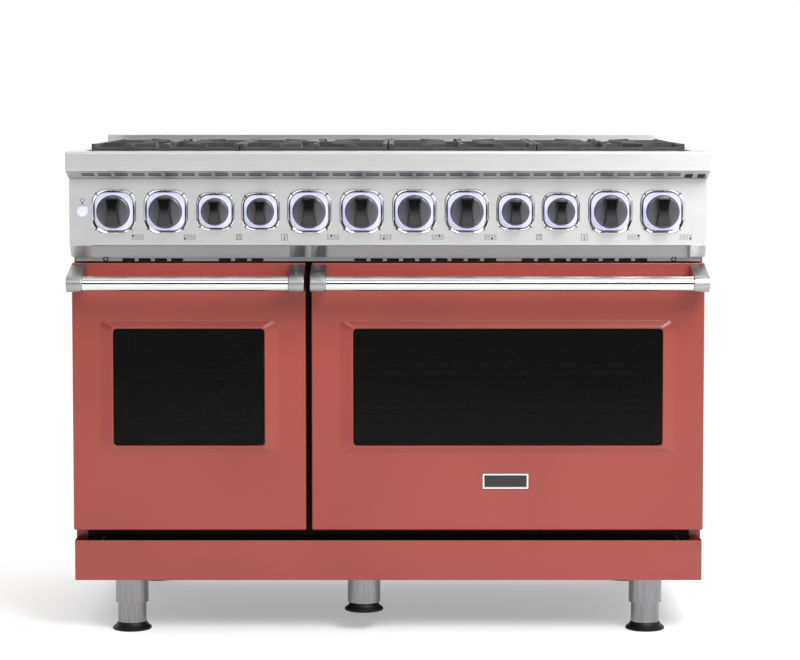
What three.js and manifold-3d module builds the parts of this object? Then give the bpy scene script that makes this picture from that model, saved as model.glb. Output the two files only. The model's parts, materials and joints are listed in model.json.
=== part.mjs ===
// Freestanding gas range with two ovens, eight burners and four cast grates.
// Millimetres. +X is to the right of a person facing the range, +Y is to the back, +Z is up.
// The origin is on the floor, in the middle of the footprint.
import * as THREE from "three";
import { mergeVertices } from "three/addons/utils/BufferGeometryUtils.js";
import Module from "manifold-3d";

const wasm = await Module();
wasm.setup();

// ---------- driving dimensions ----------
const WIDTH = 1216;
const DEPTH = 734;
const HALF = WIDTH / 2;
const BACK_Y = DEPTH / 2;
const CLEAR = 0.3; // gap between pieces that touch

const LEDGE_FRONT_Y = BACK_Y - 725;
const PANEL_Y = LEDGE_FRONT_Y + 49;
const DOOR_Y = LEDGE_FRONT_Y + 77;
const CARCASS_FRONT_Y = DOOR_Y + 42;
const COOKTOP_FRONT_Y = LEDGE_FRONT_Y + 60;

const LEDGE_TOP_Z = 934;
const LEDGE_LOW_Z = 898;
const PANEL_TOP_Z = 882;
const PANEL_LOW_Z = 754;
const RETURN_LOW_Z = 731;
const DOOR_TOP_Z = 719;
const DOOR_LOW_Z = 202;
const KICK_TOP_Z = 181.5;
const KICK_LOW_Z = 104;
const BACKGUARD_TOP_Z = 955;

const SHEET = 1.5;

const LEFT_DOOR = [-607.5, -158.5];
const RIGHT_DOOR = [-147.5, 607.5];
const DOOR_DEPTH = 26;
const HINGE_Y = DOOR_Y + 20;
const HINGE_Z = DOOR_LOW_Z + 10;
const HINGE_INSET = 50;

const HANDLE_AXIS_Y = DOOR_Y - 70;
const HANDLE_Z = 684;
const HANDLE_RADIUS = 14.5;
const HANDLE_CAP_RADIUS = 16;
const BRACKET_WIDTH = 30;

const WINDOW_LOW_Z = 367;
const WINDOW_TOP_Z = 593;
const LEFT_WINDOW = [-528.5, -237.5];
const RIGHT_WINDOW = [-67.5, 527.5];
const WINDOW_CORNER = 12;
const EMBOSS_HEIGHT = 7;

const LEFT_CAVITY = [-548, -218];
const RIGHT_CAVITY = [-88, 548];
const CAVITY_LOW_Z = 250;
const CAVITY_TOP_Z = 650;
const CAVITY_BACK_Y = 230;
const LEFT_RACK_LEVELS = [354, 487];
const RIGHT_RACK_LEVELS = [412, 497];

const KNOB_Z = 819;
const KNOB_SPACING = [522, 423, 329, 242.5, 150, 50];
const BURNER_KNOB_SPACING = [522, 423, 150, 50];
const LAMP_X = -582;

const GRATE_COUNT = 4;
const GRATE_PITCH = 283.5;
const GRATE_DEPTH = 545;
const GRATE_TOP_Z = 947.5;
const PAN_FLOOR_Z = 903;

const LEG_X = 501;
const MIDDLE_LEG_X = -48;
const FRONT_LEG_Y = BACK_Y - 596;
const REAR_LEG_Y = BACK_Y - 60;
const SLEEVE_LOW_Z = 54;
const MIDDLE_FOOT_LIFT = 37;

const FINE = 16; // sides of a round piece
const COARSE = 8; // sides of a hole or a thin rod

// ---------- finishes ----------
const FINISHES = {
  enamel: { color: 0xb0584e, roughness: 0.28, metalness: 0 },
  steel: { color: 0xc9c9c9, roughness: 0.35, metalness: 1 },
  polished: { color: 0xdcdcda, roughness: 0.15, metalness: 1 },
  black_enamel: { color: 0x17171a, roughness: 0.3, metalness: 0 },
  cavity: { color: 0x23262d, roughness: 0.4, metalness: 0 },
  chrome: { color: 0xd8d8dc, roughness: 0.12, metalness: 1 },
  iron: { color: 0x2b2b2c, roughness: 0.75, metalness: 0.2 },
  brass: { color: 0xb58d4a, roughness: 0.4, metalness: 1 },
  glass: { color: 0x0c0c0d, roughness: 0.05, metalness: 0 },
  knob: { color: 0x0b0b0c, roughness: 0.12, metalness: 0 },
  zinc: { color: 0xa9adb0, roughness: 0.5, metalness: 1 },
};

const range = new THREE.Group();

function piece(name, body, finish) {
  const { numProp, vertProperties, triVerts } = body.getMesh();
  const geometry = new THREE.BufferGeometry();
  geometry.setAttribute("position", new THREE.BufferAttribute(vertProperties, numProp));
  geometry.setIndex(new THREE.BufferAttribute(triVerts, 1));
  geometry.computeVertexNormals();
  const mesh = new THREE.Mesh(geometry, new THREE.MeshStandardMaterial(FINISHES[finish]));
  mesh.name = name;
  range.add(mesh);
}

// ---------- solids ----------
function solid(geometry) {
  const bare = geometry.clone();
  bare.deleteAttribute("normal");
  bare.deleteAttribute("uv");
  const merged = mergeVertices(bare);
  return new wasm.Manifold(
    new wasm.Mesh({
      numProp: 3,
      vertProperties: merged.attributes.position.array,
      triVerts: new Uint32Array(merged.index.array),
    }),
  );
}

const join = (bodies) => bodies.reduce((whole, body) => whole.add(body));

function box([x0, x1], [y0, y1], [z0, z1]) {
  const geometry = new THREE.BoxGeometry(x1 - x0, y1 - y0, z1 - z0);
  return solid(geometry.translate((x0 + x1) / 2, (y0 + y1) / 2, (z0 + z1) / 2));
}

const outlineOf = (points) => new THREE.Shape(points.map(([u, v]) => new THREE.Vector2(u, v)));
const depthOf = (from, to) => ({ depth: to - from, bevelEnabled: false });

// A (y, z) outline run along X.
function alongX(points, from, to) {
  const turn = new THREE.Matrix4().makeBasis(
    new THREE.Vector3(0, 1, 0),
    new THREE.Vector3(0, 0, 1),
    new THREE.Vector3(1, 0, 0),
  );
  const geometry = new THREE.ExtrudeGeometry(outlineOf(points), depthOf(from, to));
  return solid(geometry.applyMatrix4(turn).translate(from, 0, 0));
}

// An (x, y) outline run along Z.
function alongZ(points, from, to) {
  return solid(new THREE.ExtrudeGeometry(outlineOf(points), depthOf(from, to)).translate(0, 0, from));
}

// An (x, z) outline run along Y.
function alongY(points, from, to) {
  const geometry = new THREE.ExtrudeGeometry(outlineOf(points), depthOf(from, to));
  return solid(geometry.rotateX(Math.PI / 2).translate(0, to, 0));
}

// A rounded (x, z) rectangle run along Y, whose front end is set in by the two slopes.
function panel([x0, x1], [z0, z1], corner, front, back, slopeX = 0, slopeZ = 0) {
  const halfX = (x1 - x0) / 2;
  const halfZ = (z1 - z0) / 2;
  const shape = new THREE.Shape();
  shape.absarc(halfX - corner, halfZ - corner, corner, 0, Math.PI / 2);
  shape.absarc(corner - halfX, halfZ - corner, corner, Math.PI / 2, Math.PI);
  shape.absarc(corner - halfX, corner - halfZ, corner, Math.PI, 1.5 * Math.PI);
  shape.absarc(halfX - corner, corner - halfZ, corner, 1.5 * Math.PI, 2 * Math.PI);
  const geometry = new THREE.ExtrudeGeometry(shape, { ...depthOf(front, back), curveSegments: 4 });
  const places = geometry.attributes.position;
  for (let i = 0; i < places.count; i++) {
    if (places.getZ(i) < (back - front) / 2) continue;
    places.setX(i, places.getX(i) * (1 - slopeX / halfX));
    places.setY(i, places.getY(i) * (1 - slopeZ / halfZ));
  }
  geometry.rotateX(Math.PI / 2);
  return solid(geometry.translate((x0 + x1) / 2, back, (z0 + z1) / 2));
}

// A (radius, height) profile turned round an upright axis.
function turned(profile, [x, y], sides = FINE) {
  const points = profile.map(([r, h]) => new THREE.Vector2(r, h));
  return solid(new THREE.LatheGeometry(points, sides).rotateX(Math.PI / 2).translate(x, y, 0));
}

// A (radius, distance in front of the panel) profile turned round a knob's axis.
function turnedForward(profile, x, z, sides = FINE) {
  const points = profile.map(([r, h]) => new THREE.Vector2(r, h));
  return solid(new THREE.LatheGeometry(points, sides).rotateX(Math.PI).translate(x, PANEL_Y, z));
}

// A round rod between two points.
function rod(from, to, radius, sides = COARSE) {
  const start = new THREE.Vector3(...from);
  const run = new THREE.Vector3(...to).sub(start);
  const geometry = new THREE.CylinderGeometry(radius, radius, run.length(), sides);
  const turn = new THREE.Quaternion().setFromUnitVectors(new THREE.Vector3(0, 1, 0), run.clone().normalize());
  const middle = start.addScaledVector(run, 0.5);
  return solid(geometry.applyQuaternion(turn).translate(middle.x, middle.y, middle.z));
}

// The closed outline of a bent sheet: the path along its outer face, then back along its inner face,
// which lies to the left of the path.
function bent(path, thickness = SHEET) {
  const points = path.map(([u, v]) => new THREE.Vector2(u, v));
  const inner = points.map((point, i) => {
    const next = points[Math.min(i + 1, points.length - 1)];
    const last = points[Math.max(i - 1, 0)];
    const ahead = next.clone().sub(point).normalize();
    const behind = point.clone().sub(last).normalize();
    const a = i < points.length - 1 ? ahead : behind;
    const b = i > 0 ? behind : ahead;
    const normal = new THREE.Vector2(-a.y - b.y, a.x + b.x);
    return point.clone().addScaledVector(normal, thickness / (1 + a.dot(b)));
  });
  return [...points, ...inner.reverse()].map((point) => [point.x, point.y]);
}

function arc([cu, cv], radius, from, to, steps) {
  return Array.from({ length: steps + 1 }, (_, i) => {
    const angle = THREE.MathUtils.degToRad(from + ((to - from) * i) / steps);
    return [cu + radius * Math.cos(angle), cv + radius * Math.sin(angle)];
  });
}

// ---------- carcass ----------
const SIDE_FLANGE = 22;
const CARCASS_BACK_Y = BACK_Y - 15;

function sidePanels() {
  const outer = HALF - 1;
  const inner = outer - SIDE_FLANGE;
  const height = [KICK_LOW_Z, LEDGE_LOW_Z - 1];
  const left = [
    [-inner, CARCASS_BACK_Y],
    [-outer, CARCASS_BACK_Y],
    [-outer, CARCASS_FRONT_Y],
    [-inner, CARCASS_FRONT_Y],
  ];
  const right = left.map(([x, y]) => [-x, y]).reverse();
  piece("side_panel_left", alongZ(bent(left), ...height), "enamel");
  piece("side_panel_right", alongZ(bent(right), ...height), "enamel");
}

const INLET = { x: 567, z: 160, radius: 9, nut: 15 };

function backPanel() {
  const sheet = box([-606, 606], [CARCASS_BACK_Y + CLEAR, CARCASS_BACK_Y + CLEAR + SHEET], [110, 896]);
  const hole = rod([INLET.x, CARCASS_BACK_Y - 10, INLET.z], [INLET.x, BACK_Y, INLET.z], INLET.nut + 2);
  piece("back_panel", sheet.subtract(hole), "zinc");
}

function legPlaces() {
  return {
    front_left: [-LEG_X, FRONT_LEG_Y, 0],
    front_middle: [MIDDLE_LEG_X, FRONT_LEG_Y, MIDDLE_FOOT_LIFT],
    front_right: [LEG_X, FRONT_LEG_Y, 0],
    rear_left: [-LEG_X, REAR_LEG_Y, 0],
    rear_right: [LEG_X, REAR_LEG_Y, 0],
  };
}

const SLEEVE = { inner: 28.7, outer: 31 };
const FOOT = { pad: 37.8, tube: 27.7, wall: 2, height: 98 };

function basePan() {
  const floor = [106, 108];
  let pan = box([-600, 600], [CARCASS_FRONT_Y + 3, CARCASS_BACK_Y - 3], floor).add(
    box([-584, 584], [DOOR_Y + 4, CARCASS_FRONT_Y + 4], floor),
  );
  for (const [x, y] of Object.values(legPlaces())) {
    const { inner, outer } = SLEEVE;
    pan = pan.subtract(rod([x, y, floor[0] - 1], [x, y, floor[1] + 1], outer - 0.5, FINE));
    const wall = [
      [inner, SLEEVE_LOW_Z],
      [outer, SLEEVE_LOW_Z],
      [outer, floor[1]],
      [inner, floor[1]],
      [inner, SLEEVE_LOW_Z],
    ];
    pan = pan.add(turned(wall, [x, y]));
  }
  piece("base_pan", pan, "steel");
}

function feet() {
  for (const [name, [x, y, lift]] of Object.entries(legPlaces())) {
    const { pad, tube, wall, height } = FOOT;
    const profile = [
      [0, 0],
      [pad - 1.5, 0],
      [pad, 4],
      [tube, 15],
      [tube, height],
      [tube - wall, height],
      [tube - wall, 18],
      [0, 18],
    ];
    const raised = profile.map(([r, h]) => [r, h + lift]);
    piece("foot_" + name, turned(raised, [x, y]), "steel");
  }
}

// Each hinge: a plate on the front frame carries a pin, and two lugs on the door's liner turn on it.
const HINGE = { plate: 6, pin: 4, bore: 4.5, eye: 8, lug: [4, 10] };

const hingeCentres = ([x0, x1]) => [x0 + HINGE_INSET, x1 - HINGE_INSET];

function frontFrame() {
  let frame = box([-584.7, 584.7], [CARCASS_FRONT_Y, CARCASS_FRONT_Y + 2], [KICK_TOP_Z + 2, DOOR_TOP_Z + 1.5]);
  for (const [x0, x1] of [LEFT_CAVITY, RIGHT_CAVITY]) {
    frame = frame.subtract(
      box([x0, x1], [CARCASS_FRONT_Y - 1, CARCASS_FRONT_Y + 3], [CAVITY_LOW_Z, CAVITY_TOP_Z]),
    );
  }
  for (const x of [...hingeCentres(LEFT_DOOR), ...hingeCentres(RIGHT_DOOR)]) {
    const { plate, pin, eye, lug } = HINGE;
    frame = frame.add(
      box([x - plate / 2, x + plate / 2], [HINGE_Y, CARCASS_FRONT_Y + 1], [HINGE_Z - 7, HINGE_Z + 2]),
    );
    frame = frame.add(rod([x - plate / 2, HINGE_Y, HINGE_Z], [x + plate / 2, HINGE_Y, HINGE_Z], eye));
    frame = frame.add(rod([x - lug[1] - 1, HINGE_Y, HINGE_Z], [x + lug[1] + 1, HINGE_Y, HINGE_Z], pin));
  }
  piece("front_frame", frame, "black_enamel");
}

// ---------- ovens ----------
const CAVITY_WALL = 2;
const RAIL = { width: 9, height: 6 };

function ovenCavity(name, [x0, x1], levels) {
  const front = CARCASS_FRONT_Y + 2 + CLEAR;
  const w = CAVITY_WALL;
  const outside = box([x0 - w, x1 + w], [front, CAVITY_BACK_Y + w], [CAVITY_LOW_Z - w, CAVITY_TOP_Z + w]);
  let cavity = outside.subtract(
    box([x0, x1], [front - 1, CAVITY_BACK_Y], [CAVITY_LOW_Z, CAVITY_TOP_Z]),
  );
  for (const z of levels) {
    const run = [front + 20, CAVITY_BACK_Y + 1];
    const lift = [z - RAIL.height, z];
    cavity = cavity.add(box([x0 - 1, x0 + RAIL.width], run, lift));
    cavity = cavity.add(box([x1 - RAIL.width, x1 + 1], run, lift));
  }
  piece(name, cavity, "cavity");
}

const RACK = { front: CARCASS_FRONT_Y + 26, back: CAVITY_BACK_Y - 12, frame: 6, wire: 3, pitch: 44 };

function rack(name, [x0, x1], level) {
  const z = level + CLEAR;
  const left = x0 + 3;
  const right = x1 - 3;
  const { front, back, frame, wire, pitch } = RACK;
  const rails = [
    box([left, right], [front, front + frame], [z, z + frame]),
    box([left, right], [back - frame, back], [z, z + frame]),
    box([left, left + frame], [front, back], [z, z + frame]),
    box([right - frame, right], [front, back], [z, z + frame]),
  ];
  const count = Math.round((right - left) / pitch);
  for (let i = 1; i < count; i++) {
    const x = left + ((right - left) * i) / count;
    rails.push(box([x - wire / 2, x + wire / 2], [front + 1, back - 1], [z + frame - wire, z + frame + 1]));
  }
  piece(name, join(rails), "chrome");
}

// ---------- doors ----------
const LINER = { inset: 14, low: 14, top: 13 };

function doorSkin(name, door, window) {
  const [x0, x1] = door;
  const back = DOOR_Y + DOOR_DEPTH;
  const slopeX = 20;
  const slopeZ = 10;
  const rim = 5;
  const grow = ([a, b], by) => [a - by, b + by];
  const glassZ = [WINDOW_LOW_Z, WINDOW_TOP_Z];
  const top = DOOR_Y - EMBOSS_HEIGHT;
  const outer = box(door, [DOOR_Y, back], [DOOR_LOW_Z, DOOR_TOP_Z]).add(
    panel(grow(window, rim + slopeX), grow(glassZ, rim + slopeZ), WINDOW_CORNER + 4, top, DOOR_Y + 1, slopeX, slopeZ),
  );
  const hollow = box(
    [x0 + SHEET, x1 - SHEET],
    [DOOR_Y + SHEET, back + 1],
    [DOOR_LOW_Z + SHEET, DOOR_TOP_Z - SHEET],
  ).add(
    panel(
      grow(window, rim + slopeX - 1),
      grow(glassZ, rim + slopeZ - 1),
      WINDOW_CORNER + 4,
      top + SHEET,
      DOOR_Y + SHEET + 1,
      slopeX,
      slopeZ,
    ),
  );
  let skin = outer.subtract(hollow);
  skin = skin.subtract(panel(window, glassZ, WINDOW_CORNER, top - 1, top + 3));
  for (const x of hingeCentres(door)) {
    skin = skin.subtract(box([x - 13, x + 13], [HINGE_Y - 11, back + 1], [DOOR_LOW_Z - 1, DOOR_LOW_Z + 3]));
  }
  piece(name, skin, "enamel");
}

function doorGlass(name, window) {
  const front = DOOR_Y - EMBOSS_HEIGHT + SHEET + CLEAR;
  const lap = 3;
  const glass = panel(
    [window[0] - lap, window[1] + lap],
    [WINDOW_LOW_Z - lap, WINDOW_TOP_Z + lap],
    WINDOW_CORNER + lap,
    front,
    front + 4,
  );
  piece(name, glass, "glass");
}

function doorLiner(name, door, window) {
  const front = DOOR_Y + DOOR_DEPTH + CLEAR;
  const back = CARCASS_FRONT_Y - 2;
  const xs = [door[0] + LINER.inset, door[1] - LINER.inset];
  const zs = [DOOR_LOW_Z + LINER.low, DOOR_TOP_Z - LINER.top];
  const t = 1.2;
  let liner = box(xs, [front, back], zs).subtract(
    box([xs[0] + t, xs[1] - t], [front - 1, back - t], [zs[0] + t, zs[1] - t]),
  );
  const glassZ = [WINDOW_LOW_Z - 8, WINDOW_TOP_Z + 8];
  liner = liner.subtract(panel([window[0] - 8, window[1] + 8], glassZ, WINDOW_CORNER, back - 3, back + 1));
  for (const x of hingeCentres(door)) {
    liner = liner.subtract(box([x - 3.8, x + 3.8], [front - 1, back - 2], [zs[0] - 1, zs[0] + 3]));
    for (const side of [-1, 1]) {
      const ends = HINGE.lug.map((at) => x + side * at).sort((a, b) => a - b);
      const web = [
        [HINGE_Y - 6, HINGE_Z],
        [HINGE_Y + 5, HINGE_Z - 4],
        [back - 1, zs[0] + 1],
        [back - 0.6, zs[0] + 30],
        [HINGE_Y - 2, HINGE_Z + 12],
      ];
      liner = liner
        .add(alongX(web, ...ends))
        .add(rod([ends[0], HINGE_Y, HINGE_Z], [ends[1], HINGE_Y, HINGE_Z], 7.5))
        .subtract(rod([ends[0] - 1, HINGE_Y, HINGE_Z], [ends[1] + 1, HINGE_Y, HINGE_Z], HINGE.bore));
    }
  }
  piece(name, liner, "black_enamel");
}

function handle(side, [x0, x1]) {
  const foot = DOOR_Y - CLEAR;
  const outline = [
    [foot, DOOR_TOP_Z - 3],
    ...arc([HANDLE_AXIS_Y, HANDLE_Z], HANDLE_CAP_RADIUS, 90, 270, 8),
    [foot, HANDLE_Z - HANDLE_CAP_RADIUS],
  ];
  const ends = [x0 - 0.5 * (side === "left"), x1 + 0.5 * (side === "right")];
  piece("handle_bracket_" + side + "_a", alongX(outline, ends[0], ends[0] + BRACKET_WIDTH), "steel");
  piece("handle_bracket_" + side + "_b", alongX(outline, ends[1] - BRACKET_WIDTH, ends[1]), "steel");
  const bar = rod(
    [ends[0] + BRACKET_WIDTH + CLEAR, HANDLE_AXIS_Y, HANDLE_Z],
    [ends[1] - BRACKET_WIDTH - CLEAR, HANDLE_AXIS_Y, HANDLE_Z],
    HANDLE_RADIUS,
    FINE,
  );
  piece("handle_bar_" + side, bar, "polished");
}

function door(side, extent, window) {
  doorSkin("door_skin_" + side, extent, window);
  doorGlass("door_glass_" + side, window);
  doorLiner("door_liner_" + side, extent, window);
  handle(side, extent);
}

// ---------- front trim ----------
function landingLedge() {
  const edge = 4;
  const path = [
    [COOKTOP_FRONT_Y, LEDGE_TOP_Z],
    ...arc([LEDGE_FRONT_Y + edge, LEDGE_TOP_Z - edge], edge, 90, 180, 3),
    [LEDGE_FRONT_Y, LEDGE_LOW_Z],
    [PANEL_Y, PANEL_TOP_Z],
    [PANEL_Y + 10, PANEL_TOP_Z],
  ];
  const end = [...path, [COOKTOP_FRONT_Y, PANEL_TOP_Z]];
  piece(
    "landing_ledge",
    join([
      alongX(bent(path), -HALF, HALF),
      alongX(end, -HALF, SHEET - HALF),
      alongX(end, HALF - SHEET, HALF),
    ]),
    "steel",
  );
}

function knobPlaces() {
  const left = KNOB_SPACING.map((x) => -x);
  const right = [...KNOB_SPACING].reverse();
  return [...left, ...right];
}

function controlPanel() {
  const path = [
    [PANEL_Y + 26, PANEL_TOP_Z - CLEAR],
    [PANEL_Y, PANEL_TOP_Z - CLEAR],
    [PANEL_Y, PANEL_LOW_Z],
    [PANEL_Y + 23, RETURN_LOW_Z],
    [PANEL_Y + 46, RETURN_LOW_Z],
  ];
  const edge = HALF - 1;
  const inset = 1;
  const end = [
    [PANEL_Y + inset, PANEL_TOP_Z - 2 * inset],
    [PANEL_Y + inset, PANEL_LOW_Z],
    [PANEL_Y + 23, RETURN_LOW_Z + inset],
    [CARCASS_FRONT_Y - CLEAR, RETURN_LOW_Z + inset],
    [CARCASS_FRONT_Y - CLEAR, LEDGE_LOW_Z - CLEAR],
    [COOKTOP_FRONT_Y + CLEAR, LEDGE_LOW_Z - CLEAR],
    [COOKTOP_FRONT_Y + CLEAR, PANEL_TOP_Z - 2 * inset],
  ];
  let sheet = join([
    alongX(bent(path, 2), -edge, edge),
    alongX(end, inset - edge, SHEET + inset - edge),
    alongX(end, edge - SHEET - inset, edge - inset),
  ]);
  const drill = (x, radius) =>
    sheet.subtract(rod([x, PANEL_Y - 1, KNOB_Z], [x, PANEL_Y + 4, KNOB_Z], radius));
  for (const x of knobPlaces()) sheet = drill(x, 6);
  sheet = drill(LAMP_X, 11);
  piece("control_panel", sheet, "steel");
}

function ventTrim() {
  const path = [
    [DOOR_Y + 5, RETURN_LOW_Z - 0.6],
    [DOOR_Y + 5, DOOR_TOP_Z + 2.8],
    [CARCASS_FRONT_Y - 1, DOOR_TOP_Z + 2.8],
  ];
  piece("vent_trim", alongX(bent(path), -600, 600), "steel");
}

function kickPlate() {
  const front = DOOR_Y + 2;
  const path = [
    [2 - HALF, CARCASS_FRONT_Y - 2],
    [2 - HALF, front],
    [HALF - 2, front],
    [HALF - 2, CARCASS_FRONT_Y - 2],
  ];
  piece("kick_plate", alongZ(bent(path), KICK_LOW_Z, KICK_TOP_Z), "enamel");
}

// ---------- controls ----------
const STEM = 4;

function knob(name, x, radius) {
  const grip = radius / 32;
  const profile = [
    [0, -8],
    [STEM, -8],
    [STEM, 9],
    [radius, 10],
    [radius, 20],
    [radius * 0.85, 26],
    [0, 28],
  ];
  const ridge = box(
    [x - 14.5 * grip, x + 14.5 * grip],
    [PANEL_Y - 40, PANEL_Y - 20],
    [KNOB_Z - 27 * grip, KNOB_Z + 27 * grip],
  );
  piece(name, turnedForward(profile, x, KNOB_Z).add(ridge), "knob");
}

function controls() {
  const radii = KNOB_SPACING.map((x) => (BURNER_KNOB_SPACING.includes(x) ? 32 : 26.5));
  const every = [...radii, ...[...radii].reverse()];
  knobPlaces().forEach((x, i) => knob("knob_" + String(i + 1).padStart(2, "0"), x, every[i]));
  const button = [
    [0, -4],
    [9.5, -4],
    [9.5, 5],
    [8, 6],
    [0, 6],
  ];
  piece("lamp_button", turnedForward(button, LAMP_X, KNOB_Z), "knob");
}

// The gas line enters at the back, climbs the right side and feeds a valve behind each burner knob.
function gasManifold() {
  const { x, z, radius, nut } = INLET;
  const pipeY = PANEL_Y + 60;
  const pipeZ = KNOB_Z;
  const rearY = CARCASS_BACK_Y - 20;
  const parts = [
    rod([-540, pipeY, pipeZ], [x, pipeY, pipeZ], radius),
    rod([x, pipeY - radius, pipeZ], [x, rearY + radius, pipeZ], radius),
    rod([x, rearY, pipeZ + radius], [x, rearY, z - radius], radius),
    rod([x, rearY - radius, z], [x, BACK_Y - 3, z], radius),
    rod([x, CARCASS_BACK_Y - 12, z], [x, BACK_Y - 5, z], nut, 6),
  ];
  for (const at of BURNER_KNOB_SPACING.flatMap((spacing) => [-spacing, spacing])) {
    parts.push(box([at - 14, at + 14], [PANEL_Y + 12, pipeY], [KNOB_Z - 16, KNOB_Z + 16]));
  }
  piece("gas_manifold", join(parts), "zinc");
}

// ---------- cooktop ----------
const WELL = { side: 578, front: COOKTOP_FRONT_Y + 6, back: BACK_Y - 62 };

function cooktop() {
  const front = COOKTOP_FRONT_Y + CLEAR;
  const t = SHEET;
  const outside = box([-HALF, HALF], [front, BACK_Y], [LEDGE_LOW_Z, LEDGE_TOP_Z]);
  const under = box([t - HALF, HALF - t], [front + t, BACK_Y - t], [LEDGE_LOW_Z - 1, LEDGE_TOP_Z - t]);
  const { side, front: wellFront, back } = WELL;
  const shell = box([-side - t, side + t], [wellFront - t, back + t], [PAN_FLOOR_Z - t, LEDGE_TOP_Z]);
  const well = box([-side, side], [wellFront, back], [PAN_FLOOR_Z, LEDGE_TOP_Z + 1]);
  piece("cooktop_pan", outside.subtract(under.subtract(shell)).subtract(well), "steel");
}

// The rear trim is a folded cover with a row of slots in its top for the oven flues.
function backguard() {
  const front = BACK_Y - 40;
  const low = LEDGE_TOP_Z + CLEAR;
  const end = HALF - 3;
  const t = SHEET;
  let trim = box([-end, end], [front, BACK_Y], [low, BACKGUARD_TOP_Z]).subtract(
    box([t - end, end - t], [front + t, BACK_Y - t], [low - 1, BACKGUARD_TOP_Z - t]),
  );
  const slots = 8;
  const pitch = 140;
  for (let i = 0; i < slots; i++) {
    const x = (i - (slots - 1) / 2) * pitch;
    const slot = box([x - 55, x + 55], [front + 15, front + 25], [BACKGUARD_TOP_Z - 3, BACKGUARD_TOP_Z + 1]);
    trim = trim.subtract(slot);
  }
  piece("backguard", trim, "steel");
}

const GRATE_FRONT_Y = LEDGE_FRONT_Y + 68;
const RAIL_LOW_Z = GRATE_TOP_Z - 25;
const DIP_Z = GRATE_TOP_Z - 7;

// An upright flat bar between two points of the plan.
function bar([ux, uy], [vx, vy], width, [z0, z1]) {
  const run = new THREE.Vector2(vx - ux, vy - uy);
  const side = new THREE.Vector2(-run.y, run.x).setLength(width / 2);
  const corners = [
    [ux - side.x, uy - side.y],
    [vx - side.x, vy - side.y],
    [vx + side.x, vy + side.y],
    [ux + side.x, uy + side.y],
  ];
  return alongZ(corners, z0, z1);
}

// The rail across a grate's front or back: level, with five lumps where the bars that carry a pan start.
function lumpyRail(centre, half, y, width) {
  const base = 13;
  const top = 8;
  const parts = [box([centre - half, centre + half], [y, y + width], [RAIL_LOW_Z, DIP_Z])];
  for (const share of [-1, -0.5, 0, 0.5, 1]) {
    const at = share * half;
    const inside = (u) => centre + Math.max(-half, Math.min(half, u));
    const lump = [
      [inside(at - base), DIP_Z - 1],
      [inside(at + base), DIP_Z - 1],
      [inside(at + top), GRATE_TOP_Z],
      [inside(at - top), GRATE_TOP_Z],
    ];
    parts.push(alongY(lump, y, y + width));
  }
  return join(parts);
}

function grate(index) {
  const centre = (index - (GRATE_COUNT - 1) / 2) * GRATE_PITCH;
  const half = GRATE_PITCH / 2 - 1;
  const width = 11;
  const front = GRATE_FRONT_Y;
  const back = front + GRATE_DEPTH;
  const tall = [RAIL_LOW_Z, GRATE_TOP_Z];
  const finger = [GRATE_TOP_Z - 16, GRATE_TOP_Z];
  const parts = [
    lumpyRail(centre, half, front, width),
    lumpyRail(centre, half, back - width, width),
  ];
  for (const side of [-1, 1]) {
    const x = centre + side * (half - width / 2);
    parts.push(bar([x, front + 1], [x, back - 1], width, tall));
    for (const y of [front + width / 2, back - width / 2]) {
      parts.push(box([x - 5, x + 5], [y - 5, y + 5], [PAN_FLOOR_Z + CLEAR, RAIL_LOW_Z + 1]));
    }
  }
  const middle = (front + back) / 2;
  parts.push(bar([centre - half + 1, middle], [centre + half - 1, middle], width, tall));
  for (const [from, burner] of [
    [front + width / 2, (front + middle) / 2],
    [middle, (front + middle) / 2],
    [middle, (back + middle) / 2],
    [back - width / 2, (back + middle) / 2],
  ]) {
    const towards = Math.sign(burner - from);
    parts.push(bar([centre, from], [centre, burner - towards * 26], width - 2, finger));
    for (const side of [-1, 1]) {
      const start = [centre + (side * half) / 2, from];
      parts.push(bar(start, [centre + side * 30, burner - towards * 34], width - 2, finger));
    }
  }
  for (const burner of [(front + middle) / 2, (back + middle) / 2]) {
    for (const side of [-1, 1]) {
      const outerEnd = [centre + side * (half - 5), burner];
      parts.push(bar(outerEnd, [centre + side * 32, burner], width - 2, finger));
    }
  }
  piece("grate_" + (index + 1), join(parts), "iron");
}

function burners() {
  const low = PAN_FLOOR_Z + CLEAR;
  const profile = [
    [0, 0],
    [58, 0],
    [44, 6],
    [44, 16],
    [48, 17],
    [46, 23],
    [0, 25],
  ];
  for (let i = 0; i < GRATE_COUNT; i++) {
    const x = (i - (GRATE_COUNT - 1) / 2) * GRATE_PITCH;
    for (const [row, share] of [
      ["front", 0.25],
      ["rear", 0.75],
    ]) {
      const raised = profile.map(([r, h]) => [r, h + low]);
      const name = "burner_" + row + "_" + (i + 1);
      piece(name, turned(raised, [x, GRATE_FRONT_Y + share * GRATE_DEPTH]), "brass");
    }
  }
}

// ---------- the whole range ----------
sidePanels();
backPanel();
basePan();
feet();
frontFrame();
ovenCavity("oven_cavity_left", LEFT_CAVITY, LEFT_RACK_LEVELS);
ovenCavity("oven_cavity_right", RIGHT_CAVITY, RIGHT_RACK_LEVELS);
LEFT_RACK_LEVELS.forEach((z, i) => rack("rack_left_" + (i + 1), LEFT_CAVITY, z));
RIGHT_RACK_LEVELS.forEach((z, i) => rack("rack_right_" + (i + 1), RIGHT_CAVITY, z));
door("left", LEFT_DOOR, LEFT_WINDOW);
door("right", RIGHT_DOOR, RIGHT_WINDOW);
landingLedge();
controlPanel();
ventTrim();
kickPlate();
controls();
gasManifold();
cooktop();
backguard();
for (let i = 0; i < GRATE_COUNT; i++) grate(i);
burners();

export default range;
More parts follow.
